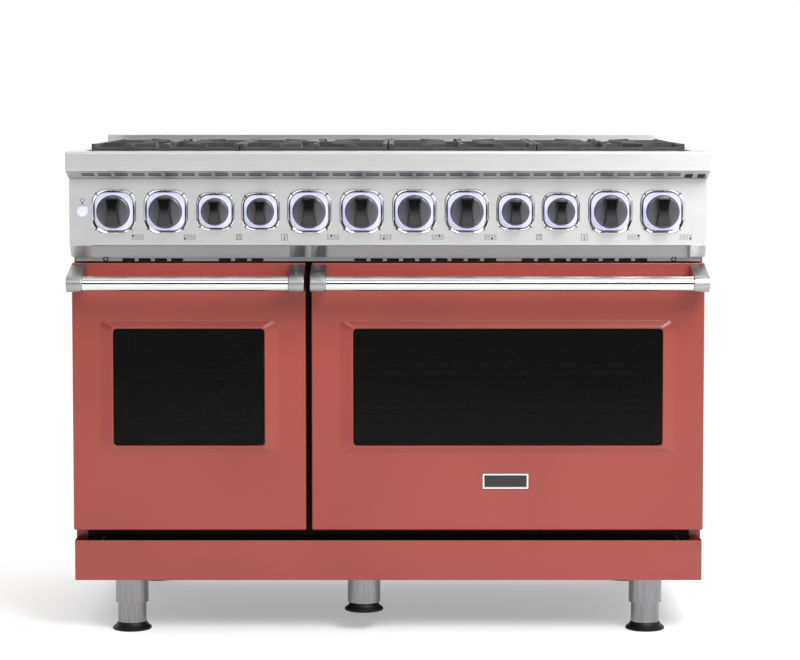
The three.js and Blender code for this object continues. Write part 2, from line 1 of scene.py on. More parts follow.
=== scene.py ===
# %% [markdown]
# # A freestanding gas range
# A range is mostly folded sheet metal: a carcass on legs, two drop-down oven doors, a control panel
# under a landing ledge, and cast iron grates over gas burners. Its frame of plain solids is made
# already, at full size and in metres. This lesson dresses that frame: it forms each sheet, casting and
# moulding again with its real edges, and gives each one the finish that the real process leaves.

# %% Load the frame
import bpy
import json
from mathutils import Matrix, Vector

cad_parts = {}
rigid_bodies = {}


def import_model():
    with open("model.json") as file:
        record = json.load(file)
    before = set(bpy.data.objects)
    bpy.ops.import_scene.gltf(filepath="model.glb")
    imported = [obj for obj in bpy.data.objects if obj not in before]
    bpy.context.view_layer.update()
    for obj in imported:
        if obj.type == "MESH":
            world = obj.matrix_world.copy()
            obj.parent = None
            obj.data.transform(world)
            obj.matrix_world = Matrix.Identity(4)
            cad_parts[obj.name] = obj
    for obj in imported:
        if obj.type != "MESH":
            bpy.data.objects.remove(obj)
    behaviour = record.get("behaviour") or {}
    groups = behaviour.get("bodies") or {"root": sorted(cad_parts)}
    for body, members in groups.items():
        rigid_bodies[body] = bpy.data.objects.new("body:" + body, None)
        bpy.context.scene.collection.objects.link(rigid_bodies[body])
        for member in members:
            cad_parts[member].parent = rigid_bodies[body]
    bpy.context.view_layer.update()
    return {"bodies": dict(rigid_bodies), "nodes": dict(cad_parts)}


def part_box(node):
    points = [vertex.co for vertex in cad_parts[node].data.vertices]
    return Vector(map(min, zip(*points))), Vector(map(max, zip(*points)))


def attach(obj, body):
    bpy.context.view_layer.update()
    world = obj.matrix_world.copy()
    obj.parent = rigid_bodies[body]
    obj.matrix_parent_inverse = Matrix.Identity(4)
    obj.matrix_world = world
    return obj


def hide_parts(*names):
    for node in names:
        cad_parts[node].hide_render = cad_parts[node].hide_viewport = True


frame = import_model()

# %% [markdown]
# ## Tools of the lesson
# Everything is measured in metres here, but a maker thinks in millimetres, so `mm` turns one into the
# other. A bmesh is Blender's editable mesh: each helper adds one simple form to it with an operator,
# and `finish_piece` turns the result into an object that rides on a body of the frame.

# %% Lengths and simple forms
import json
import math

import bmesh
import bpy
from mathutils import Matrix, Vector


def mm(length):
    return length / 1000


def point(x, y, z):
    """A place in metres from its millimetres."""
    return mm(x), mm(y), mm(z)


def stretch(x, y, z):
    """The matrix that gives a unit cube these sides in millimetres."""
    return Matrix.Diagonal((*point(x, y, z), 1))


def corners_of(made):
    """The vertices in an operator's result."""
    return [part for part in made["geom"] if isinstance(part, bmesh.types.BMVert)]


def block(bm, low, high):
    """A box between its lowest and highest corners."""
    low, high = Vector(low), Vector(high)
    place = Matrix.Translation((low + high) / 2) @ Matrix.Diagonal((*(high - low), 1))
    return bmesh.ops.create_cube(bm, size=1, matrix=place)["verts"]


def rod(bm, start, end, radius, sides=24, end_radius=None):
    """A round bar between two points, or a taper if it has an end radius."""
    start, end = Vector(start), Vector(end)
    turn = (end - start).to_track_quat("Z", "Y").to_matrix().to_4x4()
    place = Matrix.Translation((start + end) / 2) @ turn
    last = radius if end_radius is None else end_radius
    made = bmesh.ops.create_cone(
        bm, cap_ends=True, segments=sides, radius1=radius, radius2=last,
        depth=(end - start).length, matrix=place,
    )
    return made["verts"]


UPRIGHT = Matrix.Identity(4)
FORWARD = Matrix.Rotation(math.radians(90), 4, "X")  # turns +Z to face the front, -Y


def turned(bm, profile, centre, facing=UPRIGHT, steps=48):
    """A (radius, height) profile in millimetres, spun round an axis as on a lathe."""
    before = set(bm.verts)
    points = [bm.verts.new(point(r, 0, h)) for r, h in profile]
    edges = [bm.edges.new(pair) for pair in zip(points, points[1:])]
    bmesh.ops.spin(
        bm, geom=points + edges, cent=(0, 0, 0), axis=(0, 0, 1),
        angle=math.tau, steps=steps, use_merge=True,
    )
    new = [v for v in bm.verts if v not in before]
    bmesh.ops.transform(bm, matrix=Matrix.Translation(centre) @ facing, verts=new)
    bmesh.ops.remove_doubles(bm, verts=new, dist=mm(0.001))


def along_x(bm, outline, start, end, closed=True):
    """A (y, z) outline pushed along X: a solid if it is closed, or an open sheet."""
    points = [bm.verts.new((start, y, z)) for y, z in outline]
    if closed:
        made = bmesh.ops.extrude_face_region(bm, geom=[bm.faces.new(points)], use_keep_orig=True)
    else:
        edges = [bm.edges.new(pair) for pair in zip(points, points[1:])]
        made = bmesh.ops.extrude_edge_only(bm, edges=edges)
    bmesh.ops.translate(bm, verts=corners_of(made), vec=(end - start, 0, 0))


def soften(bm, width, segments=3, edges=None):
    """Rounds edges. Without a list, it takes every edge that turns by more than 30 degrees."""
    if edges is None:
        sharp = math.radians(30)
        edges = [e for e in bm.edges if len(e.link_faces) == 2 and e.calc_face_angle() > sharp]
    bmesh.ops.bevel(
        bm, geom=edges, offset=width, offset_type="OFFSET", segments=segments,
        profile=0.5, affect="EDGES", clamp_overlap=True, material=-1,
    )


def soft_rectangle(bm, low, high, y, radius, segments=6):
    """A face in the (x, z) plane with round corners."""
    (x0, z0), (x1, z1) = low, high
    place = (
        Matrix.Translation(((x0 + x1) / 2, y, (z0 + z1) / 2))
        @ Matrix.Diagonal((x1 - x0, 1, z1 - z0, 1))
        @ FORWARD
    )
    corners = bmesh.ops.create_grid(bm, x_segments=1, y_segments=1, size=0.5, matrix=place)["verts"]
    made = bmesh.ops.bevel(
        bm, geom=corners, offset=radius, offset_type="OFFSET", segments=segments,
        profile=0.5, affect="VERTICES", clamp_overlap=True, material=-1,
    )
    (face,) = {f for v in made["verts"] for f in v.link_faces}
    return face


print("helpers: block, rod, turned, along_x, soften, soft_rectangle")

# %% [markdown]
# `finish_piece` does what is the same for every piece. It merges doubled points, turns the faces
# outward, shades gentle turns smooth and keeps sharp ones crisp, gives the piece its finish, sets it
# on the body that it moves with and hides the plain solids that it stands for.
# A Weighted Normal modifier lets large flat faces keep their flat shading beside small round edges.

# %% From a bmesh to a finished piece
TO_FRONT = (0, -1, 0)
pieces = []


def finish_piece(name, bm, material, body, replaces=(), wall=0, crease=35, outward=None):
    bmesh.ops.remove_doubles(bm, verts=bm.verts, dist=mm(0.002))
    bmesh.ops.recalc_face_normals(bm, faces=bm.faces)
    if outward is not None:
        # an open sheet has no inside, so its largest face says which way is out
        largest = max(bm.faces, key=lambda f: f.calc_area())
        if largest.normal.dot(Vector(outward)) < 0:
            bmesh.ops.reverse_faces(bm, faces=bm.faces)
    mesh = bpy.data.meshes.new(name)
    bm.to_mesh(mesh)
    bm.free()
    mesh.shade_smooth()
    mesh.set_sharp_from_angle(angle=math.radians(crease))
    mesh.materials.append(material)
    piece = bpy.data.objects.new(name, mesh)
    bpy.context.scene.collection.objects.link(piece)
    if wall:
        sheet = piece.modifiers.new("sheet thickness", "SOLIDIFY")
        sheet.thickness = wall
        sheet.offset = -1
        sheet.use_even_offset = True
    piece.modifiers.new("flat faces stay flat", "WEIGHTED_NORMAL").keep_sharp = True
    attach(piece, body)
    if replaces:
        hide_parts(*replaces)
    pieces.append(piece)
    return piece


# %% [markdown]
# ## Finishes
# A finish starts from two facts: what the material is, and what the last process did to its surface.
# Each one below is a Principled shader. The numbers that are the same all over sit on the shader's own
# sockets, and a texture in real millimetres adds what the process left. `add_node` adds any node.

# %% Adding nodes, and colours from sRGB hex
def srgb(code):
    """A hex colour as the linear numbers that a shader works in."""
    parts = [int(code[i : i + 2], 16) / 255 for i in (0, 2, 4)]
    return (*[c / 12.92 if c <= 0.04045 else ((c + 0.055) / 1.055) ** 2.4 for c in parts], 1)


def add_node(tree, kind, settings=None, links=None):
    """A node with its settings, which are inputs or properties, and what feeds its inputs."""
    node = tree.nodes.new(kind)
    for name, value in (settings or {}).items():
        if isinstance(name, int) or name in node.inputs.keys():
            node.inputs[name].default_value = value
        else:
            setattr(node, name, value)
    for name, source in (links or {}).items():
        tree.links.new(source, node.inputs[name])
    return node


def new_finish(name, **sockets):
    """A material with one Principled shader. Returns the material, its node tree and the shader."""
    material = bpy.data.materials.new(name)
    material.use_nodes = True
    tree = material.node_tree
    shader = tree.nodes["Principled BSDF"]
    for socket, value in sockets.items():
        shader.inputs[socket.replace("_", " ")].default_value = value
    return material, tree, shader


def stretched_noise(tree, size_mm, drawn_out=(1, 1, 1), detail=3.0, rough=0.6):
    """Noise whose grains are size_mm across, drawn out by these factors along X, Y and Z."""
    place = add_node(tree, "ShaderNodeTexCoord")
    scale = [1 / (mm(size_mm) * factor) for factor in drawn_out]
    mapping = add_node(tree, "ShaderNodeMapping", {"Scale": scale}, {"Vector": place.outputs["Object"]})
    settings = {"Scale": 1.0, "Detail": detail, "Roughness": rough}
    noise = add_node(tree, "ShaderNodeTexNoise", settings, {"Vector": mapping.outputs["Vector"]})
    return noise.outputs["Fac"]


def vary(tree, source, socket, low, high, start=0.3, end=0.7):
    """Lets a texture move a number between low and high."""
    settings = {"From Min": start, "From Max": end, "To Min": low, "To Max": high}
    ranged = add_node(tree, "ShaderNodeMapRange", settings, {"Value": source})
    tree.links.new(ranged.outputs["Result"], socket)


def tint(tree, source, socket, low, high, start=0.35, end=0.65):
    """Lets a texture move a colour between two sRGB hex colours."""
    ranged = add_node(tree, "ShaderNodeMapRange", {"From Min": start, "From Max": end}, {"Value": source})
    mix = add_node(tree, "ShaderNodeMix", {"data_type": "RGBA"}, {"Factor": ranged.outputs["Result"]})
    mix.inputs[6].default_value = srgb(low)
    mix.inputs[7].default_value = srgb(high)
    tree.links.new(mix.outputs[2], socket)


def relief(tree, source, shader, depth_mm, strength=1.0):
    """Bumps the surface by a texture, to a real depth."""
    settings = {"Distance": mm(depth_mm), "Strength": strength}
    bump = add_node(tree, "ShaderNodeBump", settings, {"Height": source})
    tree.links.new(bump.outputs["Normal"], shader.inputs["Normal"])


# %% [markdown]
# ### Enamels
# Vitreous enamel is glass: a coloured powder is sprayed on the steel and fired until it flows. The eye
# sees a deep even colour under a clear gloss, with a slow waviness, called orange peel, about 8 mm
# across. The doors, sides and kick plate have a warm terracotta colour, and the cooktop's well is black.
# The front frame, door liners and base pan are given a dark maroon enamel, which is painted shade:
# they show only through gaps, so they are darkened as if in deep shadow. Oven walls carry pale specks
# that hide crumbs.

# %% Enamel finishes
terracotta, tree, shader = new_finish(
    "vitreous enamel, terracotta, fired", Roughness=0.3, IOR=1.52, Coat_Weight=0.15, Coat_Roughness=0.12,
)
peel = stretched_noise(tree, 8, detail=2)
tint(tree, stretched_noise(tree, 260, detail=1), shader.inputs["Base Color"], "8c362a", "923a2e")
vary(tree, peel, shader.inputs["Roughness"], 0.285, 0.34)
relief(tree, peel, shader, 0.04, 0.2)

# black enamel for caps, well and plate; the same dark finish is painted shade inside the burner ports and
# fan cover slots
black_enamel_and_slot_shade, tree, shader = new_finish("porcelain enamel, black, fired, and painted shade in slots", Roughness=0.18, IOR=1.52)
peel = stretched_noise(tree, 6, detail=2)
tint(tree, peel, shader.inputs["Base Color"], "0c0c0e", "121215")
relief(tree, peel, shader, 0.03, 0.3)

# painted shade: a dark maroon for parts seen only through gaps
maroon_shade_enamel, tree, shader = new_finish(
    "enamel, dark maroon, painted shade", Roughness=0.55, Specular_IOR_Level=0.15,
)
peel = stretched_noise(tree, 6, detail=2)
tint(tree, peel, shader.inputs["Base Color"], "180605", "220807")
relief(tree, peel, shader, 0.03, 0.3)

oven_enamel, tree, shader = new_finish("oven enamel, blue grey, speckled", Roughness=0.3, IOR=1.52)
specks = add_node(tree, "ShaderNodeTexVoronoi", {"Scale": 1 / mm(3.2), "Randomness": 1.0},
                  {"Vector": add_node(tree, "ShaderNodeTexCoord").outputs["Object"]})
tint(tree, specks.outputs["Distance"], shader.inputs["Base Color"], "b9bec6", "20242c", 0.12, 0.2)
relief(tree, stretched_noise(tree, 5, detail=2), shader, 0.03, 0.3)

# %% [markdown]
# ### Steels
# Sheet for the panel, ledge and rear trim is stainless with a No. 4 finish: an abrasive belt runs along
# it and leaves fine scratches, so a light spreads into a band across them. The scratches are really
# about 0.1 mm apart, too fine to show, so they are drawn at 0.5 mm. Anisotropy on the shader, turned a
# quarter, spreads the highlights across the belt's direction. The handle bars are buffed after that and
# come out nearly a mirror.

# %% Steel finishes
def brushed(name, pitch_mm, drawn_out, dark, light, rough, turn):
    material, tree, shader = new_finish(
        name, Metallic=1.0, Roughness=rough, Anisotropic=0.8, Anisotropic_Rotation=turn,
    )
    scratches = stretched_noise(tree, pitch_mm, drawn_out, detail=3, rough=0.6)
    tint(tree, scratches, shader.inputs["Base Color"], dark, light)
    vary(tree, scratches, shader.inputs["Roughness"], rough - 0.02, rough + 0.04)
    relief(tree, scratches, shader, 0.005, 0.15)
    return material


brushed_steel = brushed("stainless steel, brushed along X", 0.5, (160, 1, 1), "cdcdcd", "d5d5d5", 0.3, 0.25)
# painted shade: the leg steel is darker than the panel's; its strong upright streaks are partly brushing and
# partly painted reflection bands
shaded_upright_steel = brushed(
    "stainless steel tube, brushed upright", 0.6, (1, 1, 90), "767678", "989899", 0.22, 0.0,
)
# painted shade: the panel's steel made darker for its fold, which faces down
shaded_fine_steel = brushed("stainless steel, fine brushed bend", 0.4, (200, 1, 1), "909090", "979797", 0.12, 0.25)
# painted shade: the panel's stainless made darker, for the brackets, trim, vent strip and screws
shaded_steel = brushed("stainless steel, brushed, darkened as painted shade", 0.5, (120, 1, 1), "9c9c9d", "a6a6a7", 0.3, 0.25)

polished_steel, tree, shader = new_finish("stainless steel bar, buffed", Metallic=1.0, Roughness=0.12)
buffed = stretched_noise(tree, 0.6, (60, 1, 1))
tint(tree, buffed, shader.inputs["Base Color"], "d2d2d0", "dededc")
vary(tree, buffed, shader.inputs["Roughness"], 0.09, 0.16)

chrome, tree, shader = new_finish("chrome plate, bright", Metallic=1.0, Roughness=0.07)
plating = stretched_noise(tree, 3)
tint(tree, plating, shader.inputs["Base Color"], "d8d9dc", "dfe0e3")
vary(tree, plating, shader.inputs["Roughness"], 0.05, 0.1)

galvanised, tree, shader = new_finish("galvanised steel, spangled", Metallic=1.0, Roughness=0.42)
spangle = add_node(tree, "ShaderNodeTexVoronoi", {"Scale": 1 / mm(9)},
                   {"Vector": add_node(tree, "ShaderNodeTexCoord").outputs["Object"]})
tint(tree, spangle.outputs["Color"], shader.inputs["Base Color"], "8f9396", "b4b8bb", 0.1, 0.9)
vary(tree, spangle.outputs["Color"], shader.inputs["Roughness"], 0.34, 0.52, 0.1, 0.9)

# %% [markdown]
# ### Castings, mouldings and glass
# The grates are sand-cast iron under a thin matt enamel, so they are dark grey with a grain of about
# 1 mm. Burner bases are die-cast aluminium and their heads are machined brass. Knobs are moulded from
# phenolic resin and polished: black and glossy. The feet are plain black polypropylene. The window is
# toughened glass with a dark tint. Its coating cuts reflections, so it is given a low index, which makes
# the same weak mirror.

# %% Casting, moulding and glass finishes
cast_iron, tree, shader = new_finish("cast iron, matt enamelled", Roughness=0.55, IOR=1.5)
grain = stretched_noise(tree, 1.1, detail=4, rough=0.65)
tint(tree, stretched_noise(tree, 14), shader.inputs["Base Color"], "262627", "343435")
vary(tree, grain, shader.inputs["Roughness"], 0.42, 0.62)
relief(tree, grain, shader, 0.18, 0.6)

aluminium, tree, shader = new_finish("aluminium, die cast", Metallic=1.0, Roughness=0.45)
grain = stretched_noise(tree, 0.9)
tint(tree, stretched_noise(tree, 20), shader.inputs["Base Color"], "97989a", "aeafb0")
relief(tree, grain, shader, 0.05, 0.4)

brass, tree, shader = new_finish("brass, machined", Metallic=1.0, Roughness=0.28)
ridges = stretched_noise(tree, 0.5, (40, 40, 1))
tint(tree, ridges, shader.inputs["Base Color"], "a9823f", "c59d58")
relief(tree, ridges, shader, 0.01, 0.3)

phenolic, tree, shader = new_finish(
    "phenolic resin, black, polished", Roughness=0.18, IOR=1.5, Coat_Weight=0.1, Coat_Roughness=0.05,
)
flow = stretched_noise(tree, 5, detail=2)
tint(tree, flow, shader.inputs["Base Color"], "070708", "0d0d0f")
vary(tree, flow, shader.inputs["Roughness"], 0.12, 0.2)

polypropylene, tree, shader = new_finish(
    "polypropylene, black, moulded", Roughness=0.5, Specular_IOR_Level=0.25,
)
tint(tree, stretched_noise(tree, 12), shader.inputs["Base Color"], "060606", "0b0b0b")
relief(tree, stretched_noise(tree, 0.7), shader, 0.03, 0.4)

window_glass, tree, shader = new_finish(
    "float glass, toughened, coated, dark tint", Roughness=0.01, IOR=1.17, Transmission_Weight=1.0,
)
tint(tree, stretched_noise(tree, 90, detail=1), shader.inputs["Base Color"], "7a7c7e", "808285")

# printed frit for the window border; the same black is painted shade in the vent slots
frit_and_slot_shade, tree, shader = new_finish("ceramic frit, black, printed", Roughness=0.5, Specular_IOR_Level=0.1)
tint(tree, stretched_noise(tree, 2), shader.inputs["Base Color"], "050506", "080809")

gasket_braid, tree, shader = new_finish("glass fibre braid, woven", Roughness=0.9, IOR=1.5)
plait = add_node(tree, "ShaderNodeTexVoronoi", {"Scale": 1 / mm(2.2), "Randomness": 0.25},
                 {"Vector": add_node(tree, "ShaderNodeTexCoord").outputs["Object"]})
tint(tree, plait.outputs["Distance"], shader.inputs["Base Color"], "5a5a5a", "2b2b2b", 0.1, 0.6)
relief(tree, plait.outputs["Distance"], shader, 0.6, 0.8)

alumina, tree, shader = new_finish("alumina ceramic, glazed", Roughness=0.25, IOR=1.7)
tint(tree, stretched_noise(tree, 3), shader.inputs["Base Color"], "e4e0d6", "efece4")

ink, tree, shader = new_finish("screen ink, black, printed", Roughness=0.6)
tint(tree, stretched_noise(tree, 1), shader.inputs["Base Color"], "2e2e30", "3a3a3c")

# %% [markdown]
# ### Light
# A ring of small lamps behind each knob shines through white acrylic. The acrylic glows evenly, so it
# is an emitting shader: nearly white over the square plate, and bluer where the light leaves round the
# knob's skirt.

# %% Lit acrylic
def lit(name, low, high, code, strength):
    material, tree, shader = new_finish(name, Roughness=0.3, IOR=1.49, Emission_Strength=strength)
    cloud = stretched_noise(tree, 12, detail=1)
    tint(tree, cloud, shader.inputs["Base Color"], low, high)
    shader.inputs["Emission Color"].default_value = srgb(code)
    return material


lit_plate = lit("acrylic diffuser, lit white", "acacb6", "b6b6c0", "ececff", 0.34)
lit_ring = lit("acrylic light ring, lit blue white", "a0a0c4", "acacd0", "b6bcff", 0.85)
print("finishes:", len(bpy.data.materials))

# %% [markdown]
# ## Pieces that keep their plain shape
# Folded trays and boxes have the right shape in the frame already. A real fold has a radius of about
# the sheet's thickness, so each gets its finish and live modifiers: Weld joins the points, a planar
# Decimate clears the triangles from flat faces, and a Bevel rounds the folds so that they catch light.

# %% Dress the frame's own solids
def dress(node, material, fold_mm=0.6, segments=2):
    solid = frame["nodes"][node]
    solid.data.materials.clear()
    solid.data.materials.append(material)
    solid.modifiers.new("weld", "WELD").merge_threshold = mm(0.01)
    flat = solid.modifiers.new("flat faces", "DECIMATE")
    flat.decimate_type = "DISSOLVE"
    flat.angle_limit = math.radians(1)
    folds = solid.modifiers.new("folds", "BEVEL")
    folds.width = mm(fold_mm)
    folds.segments = segments
    folds.limit_method = "ANGLE"
    folds.angle_limit = math.radians(40)
    folds.harden_normals = True
    return solid


for side in ("left", "right"):
    dress("side_panel_" + side, terracotta)
    dress("oven_cavity_" + side, oven_enamel)
    dress("door_liner_" + side, maroon_shade_enamel)
# the frame and base pan, like the liners above, take the maroon painted shade
dress("front_frame", maroon_shade_enamel, 0.4)
dress("base_pan", maroon_shade_enamel, 0.4)
dress("cooktop_pan", brushed_steel, 0.5)
dress("gas_manifold", brass, 0.8)
print("dressed:", sum(1 for o in frame["nodes"].values() if o.modifiers))

# %% [markdown]
# ## Oven doors
# A door skin is one pressing: a flat front with small round edges, and a border that slopes up to the
# window. It is made as the press makes it, step by step from the door's edge to the glass. Each step is
# a rectangle with round corners at its own depth, and a bridge of faces joins it to the next one. The
# skin is a separate piece from the glass, the liner and the handle.

# %% Door skins
DOOR_FACE = -281
RAISED_FACE = -288
EMBOSS_X, EMBOSS_Z = 25, 15
WINDOW_Z = (367, 593)
DOOR_Z = (202, 719)
OVEN_Z = (250, 650)
GASKET_Y = -239.1
HINGE_INSET = 50
NOTCH_HALF, NOTCH_Y = 13, -272
doors = {
    "left": {"x": (-607.5, -158.5), "window": (-528.5, -237.5), "oven": (-548, -218)},
    "right": {"x": (-147.5, 607.5), "window": (-67.5, 527.5), "oven": (-88, 548)},
}


def ring_of_faces(bm, low_a, high_a, y_a, radius_a, low_b, high_b, y_b, radius_b, segments=6):
    """A band between two round-cornered rectangles that have the same number of points."""
    first = soft_rectangle(bm, low_a, high_a, y_a, radius_a, segments)
    second = soft_rectangle(bm, low_b, high_b, y_b, radius_b, segments)
    edges = list(first.edges) + list(second.edges)
    bmesh.ops.delete(bm, geom=[first, second], context="FACES_ONLY")
    bmesh.ops.bridge_loops(bm, edges=edges)


def pair(low, high):
    return tuple(mm(v) for v in low), tuple(mm(v) for v in high)


def notch_flange(bm, x):
    """Cuts the lower flange away at a hinge, where the hinge plate passes when the door swings down."""
    planes = [(point(x + side * NOTCH_HALF, 0, 0), (1, 0, 0)) for side in (-1, 1)]
    planes.append((point(0, NOTCH_Y, 0), (0, 1, 0)))
    for place, across in planes:
        flange = [f for f in bm.faces if f.calc_center_median().z < mm(DOOR_Z[0] + 0.5)]
        parts = {part for f in flange for part in (*f.verts, *f.edges, f)}
        bmesh.ops.bisect_plane(bm, geom=list(parts), dist=mm(0.001), plane_co=place, plane_no=across)
    middles = {f: f.calc_center_median() for f in bm.faces}
    cut = [f for f, middle in middles.items() if middle.z < mm(DOOR_Z[0] + 0.5)
           and abs(middle.x - mm(x)) < mm(NOTCH_HALF) and middle.y > mm(NOTCH_Y)]
    bmesh.ops.delete(bm, geom=cut, context="FACES")


def door_skin(side):
    x0, x1 = doors[side]["x"]
    w0, w1 = doors[side]["window"]
    z0, z1 = WINDOW_Z
    bm = bmesh.new()
    steps = [
        # (outline, grow X, grow Z, y, corner radius) from the door's back edge to the window's
        ("door", 0, 0, -255, 3),
        ("door", 0, 0, DOOR_FACE + 3, 3),
        ("door", -0.9, -0.9, DOOR_FACE + 0.9, 3),
        ("door", -3, -3, DOOR_FACE, 3),
        ("window", EMBOSS_X + 1.5, EMBOSS_Z + 1.5, DOOR_FACE, 16),
        ("window", EMBOSS_X - 0.5, EMBOSS_Z - 0.5, DOOR_FACE - 0.35, 15),
        ("window", 3.8, 3.6, RAISED_FACE + 0.25, 9),
        ("window", 2.2, 2.2, RAISED_FACE, 8),
        ("window", 0.6, 0.6, RAISED_FACE + 0.1, 7),
        ("window", 0, 0, RAISED_FACE + 0.7, 7),
        ("window", 0, 0, RAISED_FACE + 3, 7),
    ]
    for (kind_a, *a), (kind_b, *b) in zip(steps, steps[1:]):
        bands = []
        for kind, (grow_x, grow_z, y, radius) in ((kind_a, a), (kind_b, b)):
            if kind == "door":
                low, high = pair((x0 - grow_x, DOOR_Z[0] - grow_z), (x1 + grow_x, DOOR_Z[1] + grow_z))
            else:
                low, high = pair((w0 - grow_x, z0 - grow_z), (w1 + grow_x, z1 + grow_z))
            bands.append((low, high, mm(y), mm(radius)))
        ring_of_faces(bm, *bands[0], *bands[1])
    for x in (x0 + HINGE_INSET, x1 - HINGE_INSET):
        notch_flange(bm, x)
    return finish_piece(
        "door_skin_" + side + "_pressed", bm, terracotta, "door_" + side,
        ["door_skin_" + side], wall=mm(1), outward=TO_FRONT,
    )


for side in doors:
    door_skin(side)

# %% [markdown]
# The window is a pane of dark toughened glass, which stays as a separate solid. A black ceramic border
# is printed on its back, and inside that comes a field of fine dots on a 3 mm pitch, which shades the
# oven. There are thousands of dots, so they are drawn by a texture with holes and not one by one. A real
# printed field has a 1.5 mm pitch; it is drawn coarser so that it still shows.

# %% Glass, printed border and inner pane
dots, tree, shader = new_finish("ceramic frit, black, dot field", Roughness=0.5, Specular_IOR_Level=0.1)
shader.inputs["Base Color"].default_value = srgb("060607")
place = add_node(tree, "ShaderNodeTexCoord").outputs["Object"]
axes = add_node(tree, "ShaderNodeSeparateXYZ", None, {0: place})
flat = add_node(tree, "ShaderNodeCombineXYZ", None, {"X": axes.outputs["X"], "Y": axes.outputs["Z"]})
settings = {"voronoi_dimensions": "2D", "Scale": 1 / mm(3), "Randomness": 0.0}
grid = add_node(tree, "ShaderNodeTexVoronoi", settings, {"Vector": flat.outputs["Vector"]})
vary(tree, grid.outputs["Distance"], shader.inputs["Alpha"], 1.0, 0.0, 0.36, 0.4)


def flat_frame(name, side, outer, inner, y, thickness, material, body, corner=10):
    """A flat ring between the window's outline grown by outer and shrunk by inner."""
    w0, w1 = doors[side]["window"]
    z0, z1 = WINDOW_Z
    bm = bmesh.new()
    outside = pair((w0 - outer, z0 - outer), (w1 + outer, z1 + outer))
    inside = pair((w0 + inner, z0 + inner), (w1 - inner, z1 - inner))
    ring_of_faces(bm, *outside, mm(y), mm(corner), *inside, mm(y), mm(max(corner - 4, 2)))
    return finish_piece(name, bm, material, body, wall=mm(thickness), outward=TO_FRONT)


for side in doors:
    body = "door_" + side
    dress("door_glass_" + side, window_glass, 0.5)
    flat_frame("window_border_" + side, side, 2, 7, -282, 0.1, frit_and_slot_shade, body)
    w0, w1 = doors[side]["window"]
    bm = bmesh.new()
    soft_rectangle(bm, *pair((w0 + 7, WINDOW_Z[0] + 7), (w1 - 7, WINDOW_Z[1] - 7)), mm(-281.9), mm(5))
    finish_piece("window_dots_" + side, bm, dots, body, wall=mm(0.05), outward=TO_FRONT)
    bm = bmesh.new()
    block(bm, point(w0 - 6, -258.6, WINDOW_Z[0] - 6), point(w1 + 6, -255.0, WINDOW_Z[1] + 6))
    soften(bm, mm(0.6), 2)
    finish_piece("window_inner_pane_" + side, bm, window_glass, body)
    # the braid between door and oven, which seals the heat in
    bm = bmesh.new()
    oven_x0, oven_x1 = doors[side]["oven"]
    bands = [
        (*pair((oven_x0 - reach, OVEN_Z[0] - reach), (oven_x1 + reach, OVEN_Z[1] + reach)), mm(GASKET_Y),
         mm(corner)) for reach, corner in ((8, 16), (2, 12))
    ]
    ring_of_faces(bm, *bands[0], *bands[1])
    finish_piece("gasket_" + side, bm, gasket_braid, "range_body", wall=mm(-1.6),
                 outward=TO_FRONT)

# %% [markdown]
# The right door has a small plain plate below its window: a bright rim round a dark field, and nothing
# written on it.

# %% Plain plate
bm = bmesh.new()
block(bm, point(182, -284, 283), point(270, -281, 312))
face = min(bm.faces, key=lambda f: f.calc_center_median().y)
bmesh.ops.inset_region(bm, faces=[face], thickness=mm(2.6))
bmesh.ops.translate(bm, verts=face.verts, vec=(0, mm(1), 0))
soften(bm, mm(0.5), 2)
finish_piece("door_plate_rim", bm, chrome, "door_right")
bm = bmesh.new()
block(bm, point(185, -283.3, 286), point(267, -282.6, 309))
soften(bm, mm(0.2), 1)
finish_piece("door_plate_field", bm, black_enamel_and_slot_shade, "door_right")

# %% [markdown]
# ### Handles
# A handle is a solid round bar between two cast brackets. Each bracket is a flat arm that widens into a
# round cap where the bar ends. The brackets are brushed and the bar is buffed. The brackets' steel is
# darker than the panel's, which is painted shade.

# %% Handles
HANDLE_Y, HANDLE_Z = -351, 684
BAR_RADIUS = 14.5
handle_ends = {
    "left": {"bar": (-577.7, -188.8), "a": (-608, -578), "b": (-188.5, -158.5)},
    "right": {"bar": (-117.2, 577.7), "a": (-147.5, -117.5), "b": (578, 608)},
}
CAP_RADIUS, CAP_STEPS = 16, 20
ARM_ROOT, ARM_LOW, ARM_TOP = DOOR_FACE - 0.3, 668, 716
for side, ends in handle_ends.items():
    body = "door_" + side
    bm = bmesh.new()
    x0, x1 = ends["bar"]
    rod(bm, point(x0, HANDLE_Y, HANDLE_Z), point(x1, HANDLE_Y, HANDLE_Z), mm(BAR_RADIUS), 64)
    finish_piece("handle_bar_" + side + "_round", bm, polished_steel, body,
                 ["handle_bar_" + side])
    for end in ("a", "b"):
        low, high = ends[end]
        outline = [(mm(ARM_ROOT), mm(ARM_TOP))]
        for i in range(CAP_STEPS + 1):
            turn = math.radians(90 + 180 * i / CAP_STEPS)
            outline.append((
                mm(HANDLE_Y + CAP_RADIUS * math.cos(turn)), mm(HANDLE_Z + CAP_RADIUS * math.sin(turn)),
            ))
        outline.append((mm(ARM_ROOT), mm(ARM_LOW)))
        bm = bmesh.new()
        along_x(bm, outline, mm(low), mm(high))
        soften(bm, mm(1.6), 3)
        finish_piece("handle_bracket_" + side + "_" + end + "_cast", bm, shaded_steel, body,
                     ["handle_bracket_" + side + "_" + end])
print("pieces so far:", len(pieces))

# %% [markdown]
# ### Kick plate
# The kick plate is one sheet with a bend at each end. It starts as its outline seen from above, which is
# pushed upward; the bends are then rounded, and a modifier gives the sheet its thickness. Two narrow
# strips of steel in the base pan's dark maroon close the gap between the pan and the side panels; the
# maroon is painted shade, which keeps the gap dark.

